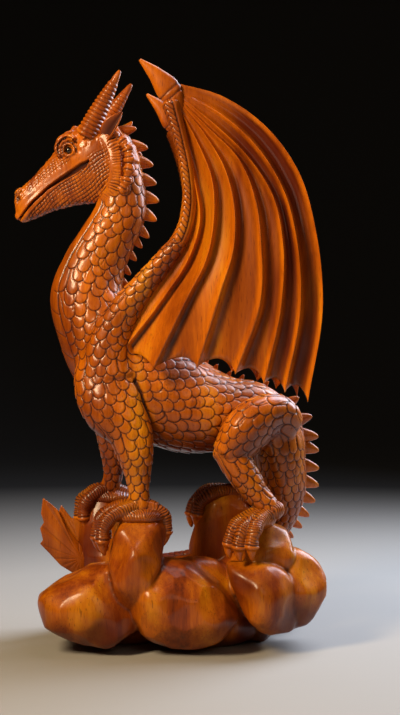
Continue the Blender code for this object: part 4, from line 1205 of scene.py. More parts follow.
WOOD = carved_wood(
    "lacquered_raintree_wood",
    ((0.30, "#7C3002"), (0.45, "#AC5403"), (0.56, "#C86804"), (0.72, "#DE8A0C")),
    "#5E2404", "#380C01", 0.4, 0.5, 0.18,
)
ROCK = carved_wood(
    "lacquered_raintree_burl",
    ((0.28, "#581E02"), (0.42, "#923F03"), (0.55, "#BA6204"), (0.72, "#D88A0C")),
    "#3A1402", "#300A01", 0.42, 0.36, 0.2,
)
print("materials:", WOOD.name, ROCK.name)

# %% Horns
HORN_FOOT = (-5, 28)
HORN_TIPS = {1: (-69, 62), -1: (-69.5, 55)}
HORN_SPREAD = 19.0
HORN_BASE_RADIUS = 10.8
HORN_RINGS = 14
HORN_RING_RELIEF = 1.35
# The far horn shows smoother than the near one
FAR_RELIEF_SHARE = 0.3
HORN_PROFILE = ((0.0, 1.0), (0.25, 0.93), (0.5, 0.77), (0.7, 0.58), (0.85, 0.4), (0.96, 0.24), (1.0, 0.12))
RINGED_SHARE = 0.82


def horn_tree():
    """A curve whose radius follows a profile and swells at each ring."""
    tree, given = new_tree("ringed_horn", (
        ("Base radius", "Float", 0.01), ("Rings", "Float", 14.0), ("Ring relief", "Float", 0.001),
        ("Ringed share", "Float", 0.82), ("Finish", "Material", None),
    ))
    curve = add(tree, "GeometryNodeMeshToCurve", {"Mesh": given["Geometry"]})
    curve = add(tree, "GeometryNodeResampleCurve", {"Curve": curve.outputs[0], "Count": 200})
    share = add(tree, "GeometryNodeSplineParameter").outputs["Factor"]
    profile = add(tree, "ShaderNodeFloatCurve", {"Value": share})
    points = profile.mapping.curves[0].points
    while len(points) < len(HORN_PROFILE):
        points.new(0.5, 0.5)
    for point, (x, y) in zip(points, HORN_PROFILE):
        point.location = (x, y)
    profile.mapping.update()
    radius = add(tree, "ShaderNodeMath", {
        0: profile.outputs[0], 1: given["Base radius"],
    }, operation="MULTIPLY")
    ringed = add(tree, "ShaderNodeMath", {
        0: share, 1: given["Ringed share"],
    }, operation="LESS_THAN").outputs[0]
    swell = share
    for operation, other in (
        ("DIVIDE", given["Ringed share"]), ("MULTIPLY", given["Rings"]), ("MULTIPLY", math.pi), ("SINE", 0.0),
        ("ABSOLUTE", 0.0), ("MULTIPLY", ringed),
    ):
        swell = add(tree, "ShaderNodeMath", {0: swell, 1: other}, operation=operation).outputs[0]
    relief = swell
    for other in (profile.outputs[0], given["Ring relief"]):
        relief = add(tree, "ShaderNodeMath", {0: relief, 1: other}, operation="MULTIPLY").outputs[0]
    radius = add(tree, "ShaderNodeMath", {0: radius.outputs[0], 1: relief}, operation="ADD").outputs[0]
    valley = add(tree, "ShaderNodeMath", {0: ringed, 1: swell}, operation="SUBTRACT").outputs[0]
    stored = add(tree, "GeometryNodeStoreNamedAttribute", {
        "Geometry": curve.outputs[0], "Name": "valley", "Value": valley,
    }, data_type="FLOAT", domain="POINT")
    circle = add(tree, "GeometryNodeCurvePrimitiveCircle", {"Resolution": 40, "Radius": 1.0})
    mesh = add(tree, "GeometryNodeCurveToMesh", {
        "Curve": stored.outputs[0], "Profile Curve": circle.outputs[0], "Scale": radius, "Fill Caps": True,
    })
    mesh = add(tree, "GeometryNodeRealizeInstances", {"Geometry": mesh.outputs[0]})
    mesh = add(tree, "GeometryNodeSetMaterial", {"Geometry": mesh.outputs[0], "Material": given["Finish"]})
    out = add(tree, "NodeGroupOutput")
    tree.links.new(mesh.outputs[0], out.inputs[0])
    return tree


ringed_horn = horn_tree()
for side, word in ((1, "left"), (-1, "right")):
    foot = head_point(*HORN_FOOT, side * HORN_SPREAD * 0.8)
    tip = head_point(*HORN_TIPS[side], side * HORN_SPREAD)
    relief = HORN_RING_RELIEF if side == 1 else HORN_RING_RELIEF * FAR_RELIEF_SHARE
    line = mesh_object("horn_line", np.linspace(foot, tip, 12), [], [(i, i + 1) for i in range(11)])
    horn = grown(line, ringed_horn, {
        "Base radius": (HORN_BASE_RADIUS - 1.0) * MM, "Rings": float(HORN_RINGS),
        "Ring relief": relief * MM, "Ringed share": RINGED_SHARE, "Finish": WOOD,
    }, f"{word}_horn")
    valley = np.zeros(len(horn.data.vertices), np.float32)
    horn.data.attributes["valley"].data.foreach_get("value", valley)
    set_layer(horn, "cut_and_shade", np.clip((valley - 0.6) * 2.4, 0, 1))
    set_layer(horn, "tint", 0.55)
    horn.data.shade_smooth()
    PIECES.append(horn)
    print(horn.name, len(horn.data.polygons), "faces")

# %% Spikes along the ridge
# The row of spikes starts on the crown, a little above the first station of the spine
CROWN = (-88, 3, 506, 13, 12)
NECK_SPIKE_LENGTH = 13.0
TAIL_SPIKE_LENGTH = 13.5
# A blade is this tall before it is sized, and this much of it is sunk in the ridge
BLADE_HEIGHT = 20.0
SPIKE_ROOT = 5.0
# Each spike: how far it stands along the ridge from the crown, and its length as a share of the full one
NECK_SPIKES = (
    (3, 0.8), (16, 0.95), (31, 1.0), (47, 1.0), (65, 1.0), (77, 0.92), (88, 0.78), (97, 0.64), (113, 0.62),
    (128, 0.62), (146, 0.6), *((place, 0.4) for place in range(200, 400, 16)),
)
TAIL_SPIKES = (
    (411, 0.9), (420, 0.96), (427.5, 1.0), (435, 1.0), (455, 1.0), (468, 0.97), (481, 0.92), (495, 0.85),
    (509, 0.8), *((place, 0.75 - (place - 523) / 600) for place in range(523, 690, 15)),
)
# Height up the blade, half length along the ridge, half width across it, and lean towards the tail
SPIKE_FORM = (
    (0, 8.2, 4.8, -1.2), (0.2, 7.6, 4.5, -0.6), (0.42, 6.7, 4.0, 0.4), (0.62, 5.5, 3.3, 1.6),
    (0.8, 4.1, 2.5, 2.8), (0.92, 2.7, 1.6, 3.6), (1.0, 1.2, 0.8, 4.2),
)


def spike_blade():
    """One blade on the origin, with its root below zero."""
    form = smooth_rows([(h, 0, 0, a, b, s) for h, a, b, s in SPIKE_FORM], 15)
    turns = np.linspace(0, 2 * math.pi, 18, endpoint=False)
    rings = []
    for h, _, _, a, b, s in form:
        ring = np.c_[s + np.cos(turns) * a, bent(np.sin(turns), 1.25) * b]
        rings.append(np.c_[ring, np.full(len(turns), h * BLADE_HEIGHT - SPIKE_ROOT)])
    return mesh_object("spike_blade", *skin(np.array(rings)))


def spike_tree():
    """A blade set on every point, turned by its stored rotation and sized by its stored height."""
    tree, given = new_tree("ridge_spikes", (("Blade", "Object", None), ("Finish", "Material", None)))
    blade = add(tree, "GeometryNodeObjectInfo", {"Object": given["Blade"]})
    turn = add(tree, "GeometryNodeInputNamedAttribute", {"Name": "turn"}, data_type="FLOAT_VECTOR")
    size = add(tree, "GeometryNodeInputNamedAttribute", {"Name": "size"}, data_type="FLOAT_VECTOR")
    turn = add(tree, "FunctionNodeEulerToRotation", {0: turn.outputs[0]})
    blades = add(tree, "GeometryNodeInstanceOnPoints", {
        "Points": given["Geometry"], "Instance": blade.outputs["Geometry"],
        "Rotation": turn.outputs[0], "Scale": size.outputs[0],
    })
    mesh = add(tree, "GeometryNodeRealizeInstances", {"Geometry": blades.outputs[0]})
    mesh = add(tree, "GeometryNodeSetMaterial", {"Geometry": mesh.outputs[0], "Material": given["Finish"]})
    out = add(tree, "NodeGroupOutput")
    tree.links.new(mesh.outputs[0], out.inputs[0])
    return tree


rows = smooth_rows((CROWN, *SPINE), 700)
tangents, ups, _ = carried_frame(rows[:, :3], SPINE_UP)
length = running_length(rows[:, :3])
roots, turns_of, sizes_of = [], [], []
for row_of, full in ((NECK_SPIKES, NECK_SPIKE_LENGTH), (TAIL_SPIKES, TAIL_SPIKE_LENGTH)):
    for place, share in row_of:
        i = int(np.argmin(np.abs(length - place)))
        roots.append(rows[i, :3] + ups[i] * rows[i, 3])
        stance = Matrix((tangents[i], np.cross(ups[i], tangents[i]), ups[i])).transposed()
        turns_of.append(tuple(stance.to_euler()))
        grow = full * share / (BLADE_HEIGHT - SPIKE_ROOT)
        sizes_of.append((MM * min(1.0, grow * 1.1), MM * min(1.0, grow * 1.1), MM * grow))
ridge = mesh_object("ridge_points", roots, [])
for name, values in (("turn", turns_of), ("size", sizes_of)):
    layer = ridge.data.attributes.new(name, "FLOAT_VECTOR", "POINT")
    layer.data.foreach_set("vector", np.array(values, np.float32).ravel())
blade = spike_blade()
blade.data.transform(Matrix.Scale(1 / MM, 4))
spikes = grown(ridge, spike_tree(), {"Blade": blade, "Finish": WOOD}, "ridge_spikes")
bpy.data.objects.remove(blade)
places, _ = places_of(spikes)
set_places(spikes, places)
spikes.data.shade_smooth()
set_layer(spikes, "tint", 0.6)
PIECES.append(spikes)
print("spikes:", len(roots))

# %% [markdown]
# Wings. Each is a sheet over eight ribs that run from the wrist to the hem, carved so that every rib
# stands as a sharp crest with a hollow on both sides. Lower down the hollow lies closer behind each rib,
# so that the panels look like the folds of a curtain. The hem is cut in scallops from rib to rib. The
# hollows are darkened with painted shade, a strip of painted shadow runs beside each rib lower down, and
# the crests are lightened with a painted highlight. The
# hollows keep dark stain and the crests are rubbed bright.

# %% Wing ribs
WING_RIBS = (
    ((-24, 80, 514), (-17, 79, 484), (-12, 77, 452), (-11, 74, 424), (-20, 69, 396), (-38, 62, 368),
     (-86, 43, 302)),
    ((-22, 81, 517), (-14, 80, 484), (-5, 79, 450), (0, 76, 413), (-11, 70, 376), (-32, 62, 344),
     (-79, 44, 284)),
    ((-21, 81, 520), (-3, 84, 486), (11, 87, 450), (13, 87, 412), (6, 85, 375), (-11, 81, 341),
     (-45, 66, 272)),
    ((-20.5, 81, 523), (4, 87, 492), (23, 90, 459), (32, 92, 421), (31, 91, 383), (20, 88, 347),
     (-3, 74, 273)),
    ((-20, 81, 526), (8, 88, 497), (37, 92, 466), (52, 94, 427), (57, 94, 386), (57, 90, 340), (33, 78, 267)),
    ((-19.5, 81, 529), (13, 88, 501), (45, 92, 469), (68, 94, 432), (77, 94, 389), (76, 90, 335),
     (60, 78, 258)),
    ((-19, 81, 532), (17, 87, 512), (53, 91, 479), (78, 92, 438), (90, 92, 392), (94, 88, 335),
     (80, 76, 250)),
    ((-19, 81, 540), (17, 86, 529), (62, 88, 498), (93, 89, 454), (108, 88, 402), (115, 84, 335),
     (102, 72, 241)),
)
# One value for each gap between ribs: how deep its scallop and its hollow are, and how dark the painted
# shade in the hollow and the painted shadow strip beside the rib before it
WING_HEM_NOTCH = (0.1, 0.9, 1.0, 1.0, 0.85, 0.8, 0.95)
WING_HOLLOW = (0.35, 0.9, 1.0, 1.0, 0.9, 0.8, 0.9)
WING_DARK = (0.6, 0.6, 0.55, 0.4, 0.65, 0.9, 0.95)
WING_STRIP = (0.7, 0.9, 0.8, 0.5, 0.4, 0.4, 0.4)
WING_CREST = 1.9
WING_SETBACK = 1.7
RIB_GAP = 18.0
RIB_HALF_WIDTH = 2.3
LAST_RIB, LAST_RIB_HALF_WIDTH = 7, 4.5
# The first ribs run out before the hem, and the painted shade in the hollows between them lies only higher up
FIRST_RIBS = 4
WING_SCALLOP_DEPTH = 12.0
WING_FLUTE_DEPTH = 8.6
WING_THICKNESS = 8.0
THINNER_IN_HOLLOW = 2.5
ACROSS_PER_RIB = 28
DOWN_RIB = 150
WING_TRIANGLES = 66000


def wing_sheet():
    """Grid of points on a wing's crest surface, and the rib number of each line across."""
    ribs = np.array([smooth_rows(rib, 90) for rib in WING_RIBS])
    number = np.linspace(0, len(WING_RIBS) - 1, (len(WING_RIBS) - 1) * ACROSS_PER_RIB + 1)
    i = np.clip(number.astype(int), 0, len(WING_RIBS) - 2)
    u = (number - i)[:, None, None]
    slope = np.gradient(ribs, axis=0)
    return cubic(ribs, slope, i, u), number, i


def make_wing(side, word):
    """A wing with its folds, crests and stain."""
    sheet, number, gap = wing_sheet()
    u = number - gap
    run = np.linspace(0, 1, DOWN_RIB)
    arch = np.abs(np.sin(math.pi * number)) ** 0.7
    length = np.linalg.norm(np.diff(sheet, axis=1), axis=2).sum(axis=1)
    stop = 1 - arch * np.array(WING_HEM_NOTCH)[gap] * WING_SCALLOP_DEPTH / length
    grid = np.empty((len(number), DOWN_RIB, 3))
    for i in range(len(number)):
        places = run * stop[i] * (sheet.shape[1] - 1)
        for axis in range(3):
            grid[i, :, axis] = np.interp(places, np.arange(sheet.shape[1]), sheet[i, :, axis])
    deepest = np.interp(run, (0, 0.35, 0.6, 1.0), (0.5, 0.45, 0.3, 0.24))
    deepest = 0.5 + (deepest[None, :] - 0.5) * np.interp(gap, (0, 3, 6), (1.0, 1.0, 0.35))[:, None]
    across = u[:, None]
    skewed = np.where(across < deepest, across / deepest / 2, 0.5 + (across - deepest) / (1 - deepest) / 2)
    hollow = np.sin(math.pi * np.clip(skewed, 0, 1)) ** 0.8
    flute = hollow * np.array(WING_HOLLOW)[gap][:, None] * np.sin(np.clip(run * 2.6, 0, 1) * math.pi / 2)
    flat = grid.reshape(-1, 3)
    rough = 0.35 * lattice_noise(flat * (1, 1, 0.25), 9, 31) + 0.2 * lattice_noise(flat, 22, 33)
    from_rib = np.minimum(u, 1 - u) * RIB_GAP
    rib = np.round(number).astype(int)
    running_out = np.interp(run, (0, 0.3, 0.55, 0.8), (0, 1, 0.9, 0.35))
    lasting = np.where(rib[:, None] < FIRST_RIBS, running_out, np.clip(run * 3, 0, 1))
    half_width = np.where(rib == LAST_RIB, LAST_RIB_HALF_WIDTH, RIB_HALF_WIDTH)
    crest = np.exp(-((from_rib / half_width) ** 4))[:, None] * lasting
    grid[:, :, 1] += WING_CREST * crest - WING_SETBACK - WING_FLUTE_DEPTH * flute
    grid[:, :, 1] += rough.reshape(grid.shape[:2]) * (1 - crest)
    back = grid.copy()
    back[:, :, 1] -= WING_THICKNESS - THINNER_IN_HOLLOW * flute
    wing = closed_slab(f"{word}_wing", grid * (1, side, 1), back * (1, side, 1))
    places, _ = places_of(wing)
    set_places(wing, places)
    # Painted shade: the hollows of the front panels darkest partway down, the floors of the rear panels all
    # the way down
    lower = np.interp(run, (0, 0.2, 0.5, 0.75), (0.3, 1, 0.85, 0.1))[None, :]
    floor_of = np.clip(from_rib / RIB_HALF_WIDTH - 0.8, 0, 1)[:, None] * np.clip(run * 5, 0, 1)[None, :]
    dark = np.where(gap[:, None] < FIRST_RIBS - 1, hollow * lower, floor_of)
    dark = dark * np.array(WING_DARK)[gap][:, None]
    patches = lattice_noise(flat * (1, 1, 0.3), 16, 41).reshape(dark.shape)
    dark = np.clip(dark * (0.9 + 0.3 * patches), 0, 0.95)
    # A painted shadow strip in each hollow, lower down the wing
    strip = np.exp(-(((across - 0.75 * deepest) / 0.13) ** 2)) * np.interp(run, (0.2, 0.5, 0.75), (0, 0.5, 1))
    patches = lattice_noise(flat, 12, 43).reshape(dark.shape)
    shadow = strip * np.array(WING_STRIP)[gap][:, None] * (0.9 + 0.3 * patches)
    # The tint lightens the crests as a painted highlight
    for layer, values in (("dark", dark), ("cut_and_shade", shadow), ("tint", 0.6 + 0.6 * crest)):
        set_layer(wing, layer, np.tile(values.ravel(), 2))
    return thinned(wing, WING_TRIANGLES)


for side, word in ((NEAR, "left"), (FAR, "right")):
    wing = make_wing(side, word)
    PIECES.append(wing)
    print(wing.name, len(wing.data.polygons), "faces")

# %% Wing claws
WING_CLAW = (
    (-17, 77, 515, 3, 3), (-21, 78.5, 521, 6.5, 4.5), (-28, 80, 532, 11.5, 5.5), (-41, 80, 548, 7.5, 4.5),
    (-56, 80, 562, 1.6, 1.6),
)
# Two cuts run across the claw's foot, so far towards the tip from its widest place
CLAW_MIDDLE, CLAW_HEADING = (-28, 532), (-0.66, 0.75)
CLAW_CUTS = (1.0, -5.0)
for side, word in ((NEAR, "left"), (FAR, "right")):
    claw = mesh_object(f"{word}_wing_claw", *tube(on_side(WING_CLAW, side), FORWARD, 60, 40))
    places, normals = places_of(claw)
    along = (places[:, (0, 2)] - CLAW_MIDDLE) @ np.array(CLAW_HEADING)
    cuts = np.maximum(*(groove(along - place, 0.9) for place in CLAW_CUTS))
    set_places(claw, places - normals * (0.9 * cuts)[:, None])
    set_layer(claw, "cut_and_shade", 0.8 * cuts)
    set_layer(claw, "tint", 0.6)
    claw.data.shade_smooth()
    PIECES.append(claw)

# %% [markdown]
# Feet. Toes run out over the rock and end in smooth claws, four on a forefoot and three on a hind foot.
# Their skin is wrinkled across and swells at each knuckle, so they are pressed together at a finer voxel
# size.

# %% Feet
TOE_RADIUS = 6.6
CLAW_LENGTH = 17.0
FOOT_VOXEL = 0.72
WRINKLE_PITCH = 2.3
FOOT_TRIANGLES = 27000
CLAW_BEND = 0.22
CLAW_SUNK = 3
TOE_SHARES = (1.25, 1.1, 1.12, 1.0, 0.98)
TOE_ROWS = 60
KNUCKLES = 3
KNUCKLE_SWELL = 0.13
WRIST_SIZES = (11.5, 10.5, 9.5)
# How much darker the toes are than the claws, the far foot more so as painted shade
TOE_STAIN_AND_SHADE = {NEAR: 0.3, FAR: 0.6}
# The palm under each wrist: centre and half sizes
PALMS = {
    "near_forefoot": ((-58, 48, 130), (27, 18, 9)), "far_forefoot": ((-92, 48, 138), (25, 17, 9)),
    "near_hind_foot": ((55, 48, 127), (18, 18, 10.5)), "far_hind_foot": ((38, 48, 136), (34, 16, 9)),
}
FEET = {
    "near_forefoot": (NEAR, (
        ((-56, 46, 140), (-72, 56, 137), (-86, 61, 130), (-92, 62, 119), (-93, 62, 108)),
        ((-56, 46, 140), (-75, 47, 139), (-91, 46, 132), (-98, 45, 120), (-99, 45, 109)),
        ((-56, 46, 140), (-72, 37, 138), (-86, 31, 131), (-92, 29, 119), (-93, 29, 108)),
        ((-60, 46, 141), (-46, 47, 138), (-37, 48, 132), (-33, 48, 122), (-33, 48, 115)),
    )),
    "far_forefoot": (FAR, (
        ((-92, 48, 147), (-106, 57, 144), (-115, 61, 137), (-119, 62, 127), (-119, 62, 118)),
        ((-92, 48, 147), (-108, 48, 145), (-119, 47, 138), (-124, 46, 127), (-124, 46, 118)),
        ((-92, 48, 147), (-106, 39, 144), (-115, 35, 137), (-119, 34, 127), (-119, 34, 118)),
        ((-92, 48, 147), (-80, 48, 143), (-71, 48, 138), (-66, 48, 129), (-66, 48, 121)),
    )),
    "near_hind_foot": (NEAR, (
        ((70, 47, 136), (60, 57, 130), (53, 66, 122), (50, 70, 112), (49, 70, 104)),
        ((70, 47, 136), (56, 53, 131), (44, 62, 123), (38, 67, 112), (37, 67, 103)),
        ((70, 47, 136), (53, 48, 132), (38, 51, 124), (30, 55, 113), (28, 55, 104)),
    )),
    "far_hind_foot": (FAR, (
        ((66, 47, 137), (40, 54, 143), (14, 60, 143), (0, 62, 133), (-3, 62, 121)),
        ((66, 47, 137), (38, 48, 144), (8, 48, 144), (-6, 48, 133), (-9, 48, 121)),
        ((66, 47, 137), (40, 42, 143), (14, 36, 143), (0, 34, 133), (-3, 34, 121)),
    )),
}


def claw_rows(toe):
    """A claw that carries on from the end of a toe, curving down."""
    heading = unit_rows(toe[-1] - toe[-2])
    back = unit_rows(np.array((toe[0, 0] - toe[-1, 0], toe[0, 1] - toe[-1, 1], 0)))
    rows = []
    for t in np.linspace(0, 1, 12):
        way = heading * t + back * CLAW_BEND * t**2
        radius = TOE_RADIUS * (0.9 * (1 - t) ** 0.7 + 0.13)
        rows.append((*(toe[-1] - heading * CLAW_SUNK + way * CLAW_LENGTH), radius, radius * 0.82))
    return rows


for name, (side, toes) in FEET.items():
    clay, lines = [], []
    for toe in toes:
        toe = np.array([(x, y * side, z) for x, y, z in toe], float)
        sizes = np.array(TOE_SHARES) * TOE_RADIUS
        table = smooth_rows([(*p, r, r) for p, r in zip(toe, sizes)], TOE_ROWS)
        waves = np.cos(np.linspace(0, KNUCKLES, TOE_ROWS) * 2 * math.pi)
        knuckle = 1 + KNUCKLE_SWELL * waves * np.linspace(0, 1, TOE_ROWS)
        table[:, 3:] *= knuckle[:, None]
        clay.append(loft(table, (0, 0, 1), 20))
        clay.append(loft(claw_rows(toe), FORWARD, 18))
        lines.append(table)
    wrist = np.array(toes[0][0]) * (1, side, 1)
    clay.append(ellipsoid(wrist, WRIST_SIZES, np.eye(3)))
    palm, sizes = PALMS[name]
    clay.append(ellipsoid(np.array(palm) * (1, side, 1), sizes, np.eye(3)))
    foot = pressed(name, clay, FOOT_VOXEL, 2)
    places, normals = places_of(foot)
    best = np.full(len(places), 1e9)
    run = np.zeros(len(places))
    past = np.zeros(len(places))
    for table in lines:
        centres = table[:, :3]
        gaps = ((places[:, None, :] - centres[None]) ** 2).sum(axis=2)
        i = gaps.argmin(axis=1)
        g = gaps[np.arange(len(places)), i]
        length = running_length(centres)
        tangents = unit_rows(np.gradient(centres, axis=0))
        along = length[i] + np.einsum("ij,ij->i", places - centres[i], tangents[i])
        closer = g < best
        best = np.where(closer, g, best)
        run = np.where(closer, along, run)
        past = np.where(closer, along - length[-1] + 2, past)
    wobble = 0.75 * lattice_noise(places, 9, 51) + 0.4 * lattice_noise(places, 5, 53)
    phase = run / WRINKLE_PITCH + wobble
    wrinkle = groove((phase - np.round(phase)) * WRINKLE_PITCH, 0.6)
    wrinkle = wrinkle * np.clip(0.95 + 0.6 * lattice_noise(places, 10, 54), 0.35, 1)
    on_toe = np.clip(-past / 1.5, 0, 1) * np.clip(0.95 + normals[:, 2], 0.3, 1)
    cuff = groove(past, 0.9)
    height = (0.35 - 0.85 * wrinkle) * on_toe - 0.8 * cuff + 0.35 * lattice_noise(places, 8, 52)
    # Painted shade in the hollows between toes and palm
    hollow = np.clip(hollows_of(foot, 12), 0, 0.7)
    set_places(foot, places + normals * height[:, None])
    set_layer(foot, "cut_and_shade", np.clip(0.9 * wrinkle * on_toe + 0.8 * cuff + hollow, 0, 1))
    set_layer(foot, "tint", 0.5 + 0.3 * (past > 0))
    # Toes darker than claws, the far foot more as painted shade, and downward faces darkened as painted shade
    stain_and_shade = TOE_STAIN_AND_SHADE[side] * (past < 0) + 0.5 * np.clip(-normals[:, 2], 0, 1)
    set_layer(foot, "dark", np.clip(stain_and_shade, 0, 0.85))
    thinned(foot, FOOT_TRIANGLES)
    foot.data.shade_smooth()
    PIECES.append(foot)
    print(name, len(foot.data.polygons), "faces")

# %% [markdown]
# The tail ends in a leaf-like fin of two lobes with torn, toothed edges. Each lobe is a thin plate that
# is thickest at its root, with veins cut from the root towards the teeth.

# %% Tail fin
FIN_ROOT = (-108, 64)
FIN_FRONT_LEAF = (
    (-106, 60), (-118, 54), (-130, 62), (-143, 70), (-156, 84), (-164, 92), (-161, 96), (-164, 108),
    (-160, 114), (-163, 123), (-161, 139), (-152, 132), (-146, 127), (-141, 114), (-133, 104), (-122, 90),
    (-108, 78),
)
FIN_BACK_LEAF = (
    (-104, 66), (-120, 78), (-136, 104), (-147, 120), (-143, 131), (-138, 124), (-133, 118), (-125, 115),
    (-114, 104), (-104, 84),
)
FIN_THICKNESS = 11.0
FIN_SETBACK = 34.0
FIN_BACK_SETBACK = 41.0
FIN_AROUND = 160
FIN_RINGS = 34
FIN_THINNING = 0.72
FIN_TIP_HEIGHT = 132
VEINS = 9
VEIN_DEPTH = 0.7
VEIN_HALF_WIDTH = 0.35


def fin_leaf(name, outline, setback):
    """A plate inside a toothed outline, thinner towards the edge, with cut veins."""
    outline = np.array(outline, float)
    closed = np.vstack([outline, outline[:1]])
    run = running_length(closed)
    spots = np.linspace(0, run[-1], FIN_AROUND, endpoint=False)
    edge = np.c_[np.interp(spots, run, closed[:, 0]), np.interp(spots, run, closed[:, 1])]
    root = outline.mean(axis=0) * 0.4 + np.array(FIN_ROOT) * 0.6
    shares = np.linspace(0.04, 1, FIN_RINGS)
    rings = []
    angle = np.unwrap(np.arctan2(edge[:, 1] - root[1], edge[:, 0] - root[0]))
    vein = groove(np.sin(angle * VEINS), VEIN_HALF_WIDTH)
    for face in (-1, 1):
        order = shares if face < 0 else shares[::-1]
        for share in order:
            flat = root + (edge - root) * share
            depth = FIN_THICKNESS / 2 * (1 - FIN_THINNING * share**2)
            depth = depth - VEIN_DEPTH * vein * min(1, share * 1.5) * (share < 0.97)
            rings.append(np.c_[flat[:, 0], setback + face * depth, flat[:, 1]])
    leaf = mesh_object(name, *skin(np.array(rings)))
    leaf.data.shade_smooth()
    set_layer(leaf, "cut_and_shade", np.concatenate([np.tile(vein * 0.35, len(rings)), (0, 0)]))
    set_layer(leaf, "tint", 0.35)
    places, _ = places_of(leaf)
    # Painted shade: the leaf darkens towards its foot, with random blotches of stain
    from_tip = np.clip((FIN_TIP_HEIGHT - places[:, 2]) / 90, 0, 1)
    stain_and_shade = 0.15 + 0.5 * from_tip + 0.3 * lattice_noise(places * (1, 1, 0.3), 9, 81)
    set_layer(leaf, "dark", np.clip(stain_and_shade, 0, 0.85))
    set_places(leaf, places)
    return leaf


PIECES.append(fin_leaf("front_fin_leaf", FIN_FRONT_LEAF, FIN_SETBACK))
PIECES.append(fin_leaf("back_fin_leaf", FIN_BACK_LEAF, FIN_BACK_SETBACK))

# %% [markdown]
# The rocks. The carver cut each boulder to a few broad facets with soft edges and left narrow creases
# between boulders, which are darkened with painted shade. Each is the soft meeting of planes, some given
# one by one because they show, some in seeded directions because they don't.

# %% Rocks
ROCK_VOXEL = 1.7
ROCK_TRIANGLES = 80000
ROCK_FACETS = 22
ROCK_ROUNDNESS = 9.0
ROCK_EDGE = 15.0
# Shallow scoops of a wide gouge, which meet in soft ridges
SCOOPS = 190
SCOOP_RADIUS = 62.0
# The sole lies this far above the floor, in millimetres
SOLE_LIFT = 0.4
# A rock from seeded planes: centre, half sizes, degrees it is turned and tipped, and its seed
ROCKS = {
    "far_forefoot_rock": ((-96, 46, 66), (33, 27, 82), 0, -4, 6),
    "far_hind_rock": ((22, 46, 68), (38, 28, 74), 0, 4, 7),
    "middle_rock": ((4, -2, 36), (64, 46, 48), 10, 0, 15),
    "left_middle_rock": ((-70, 8, 32), (52, 46, 46), 0, 0, 21),
    "right_middle_rock": ((42, 10, 44), (40, 40, 46), 0, 0, 22),
    "back_left_boulder": ((-74, 46, 30), (54, 40, 38), -12, 6, 17),
    "back_middle_boulder": ((-10, 50, 34), (44, 38, 42), 0, 0, 31),
    "back_right_boulder": ((46, 46, 42), (54, 42, 40), 12, -6, 19),
}
# A rock from chosen planes: centre, then for each plane its direction as degrees round in the front view,
# degrees it leans towards the viewer, and its distance from the centre
CUT_ROCKS = {
    "left_boulder": ((-106, -42, 44), (
        (120, 0, 33), (92, 0, 40), (180, 0, 52), (213, 0, 47), (243, 0, 39), (264, 0, 38), (300, 0, 42),
        (0, 0, 50),
        (45, 0, 50), (112, 40, 36), (250, 52, 41), (175, 48, 48), (20, 50, 44), (62, 62, 38), (0, 88, 42),
        (0, -90, 40), (90, -45, 45), (180, -45, 50), (270, -45, 46), (0, -45, 50),
    )),
    "front_boulder": ((-14, -50, 47), (
        (145, 0, 45), (76, 0, 37), (49, 0, 34), (35, 0, 38), (-23, 0, 54), (-64, 0, 45), (-88, 0, 43),
        (258, 0, 44),
        (212, 0, 50), (84, 42, 36), (45, 50, 38), (268, 48, 41), (200, 45, 50), (0, 86, 39), (320, 40, 50),
        (0, -90, 42), (90, -45, 44), (270, -50, 50), (0, -45, 54), (180, -45, 54),
    )),
    "forefoot_rock": ((-62, -56, 86), (
        (106, 0, 48), (36, 0, 44), (-10, 0, 26), (-20, 0, 23), (-38, 0, 28), (270, 0, 47), (205, 0, 29),
        (192, 0, 25),
        (169, 0, 24), (88, 40, 34), (20, 45, 28), (160, 45, 27), (290, 50, 38), (240, 45, 38), (0, 90, 33),
        (0, -90, 30), (90, -45, 34), (0, -45, 26), (180, -45, 27),
    )),
    "right_front_boulder": ((58, -50, 53), (
        (194, 0, 24), (206, 0, 22), (223, 0, 24), (250, 0, 34), (272, 0, 35), (90, 0, 34), (45, 0, 36),
        (0, 0, 34),
        (100, 38, 35), (190, 48, 27), (350, 45, 32), (50, 55, 33), (262, 50, 34), (0, 86, 35),
        (0, -90, 34), (90, -45, 36), (0, -45, 34), (180, -45, 30),
    )),
    "right_boulder": ((95, -28, 55), (
        (92, 0, 43), (56, 0, 36), (28, 0, 31), (2, 0, 28), (-22, 0, 26), (-48, 0, 28), (-68, 0, 33),
        (270, 0, 42),
        (180, 0, 34), (130, 50, 36), (40, 48, 31), (335, 48, 29), (250, 55, 34), (200, 40, 34), (0, 84, 36),
        (0, -90, 44), (90, -45, 44), (0, -45, 36), (180, -45, 36),
    )),
    "heel_rock": ((69, -36, 85), (
        (112, 0, 40), (52, 0, 32), (15, 0, 23), (-8, 0, 23), (180, 0, 26), (150, 0, 31), (270, 0, 44),
        (60, 48, 25), (125, 50, 27), (330, 50, 24), (215, 45, 28), (0, 88, 23),
        (0, -90, 34), (90, -45, 36), (0, -45, 30), (180, -45, 30),
    )),
}


def soft_facets(directions, normals, reach, sharpness):
    """How far out the soft meeting of planes lies in each direction."""
    facing = np.clip(directions @ normals.T, 0, None) / reach
    return (facing**sharpness).sum(axis=-1) ** (-1 / sharpness)


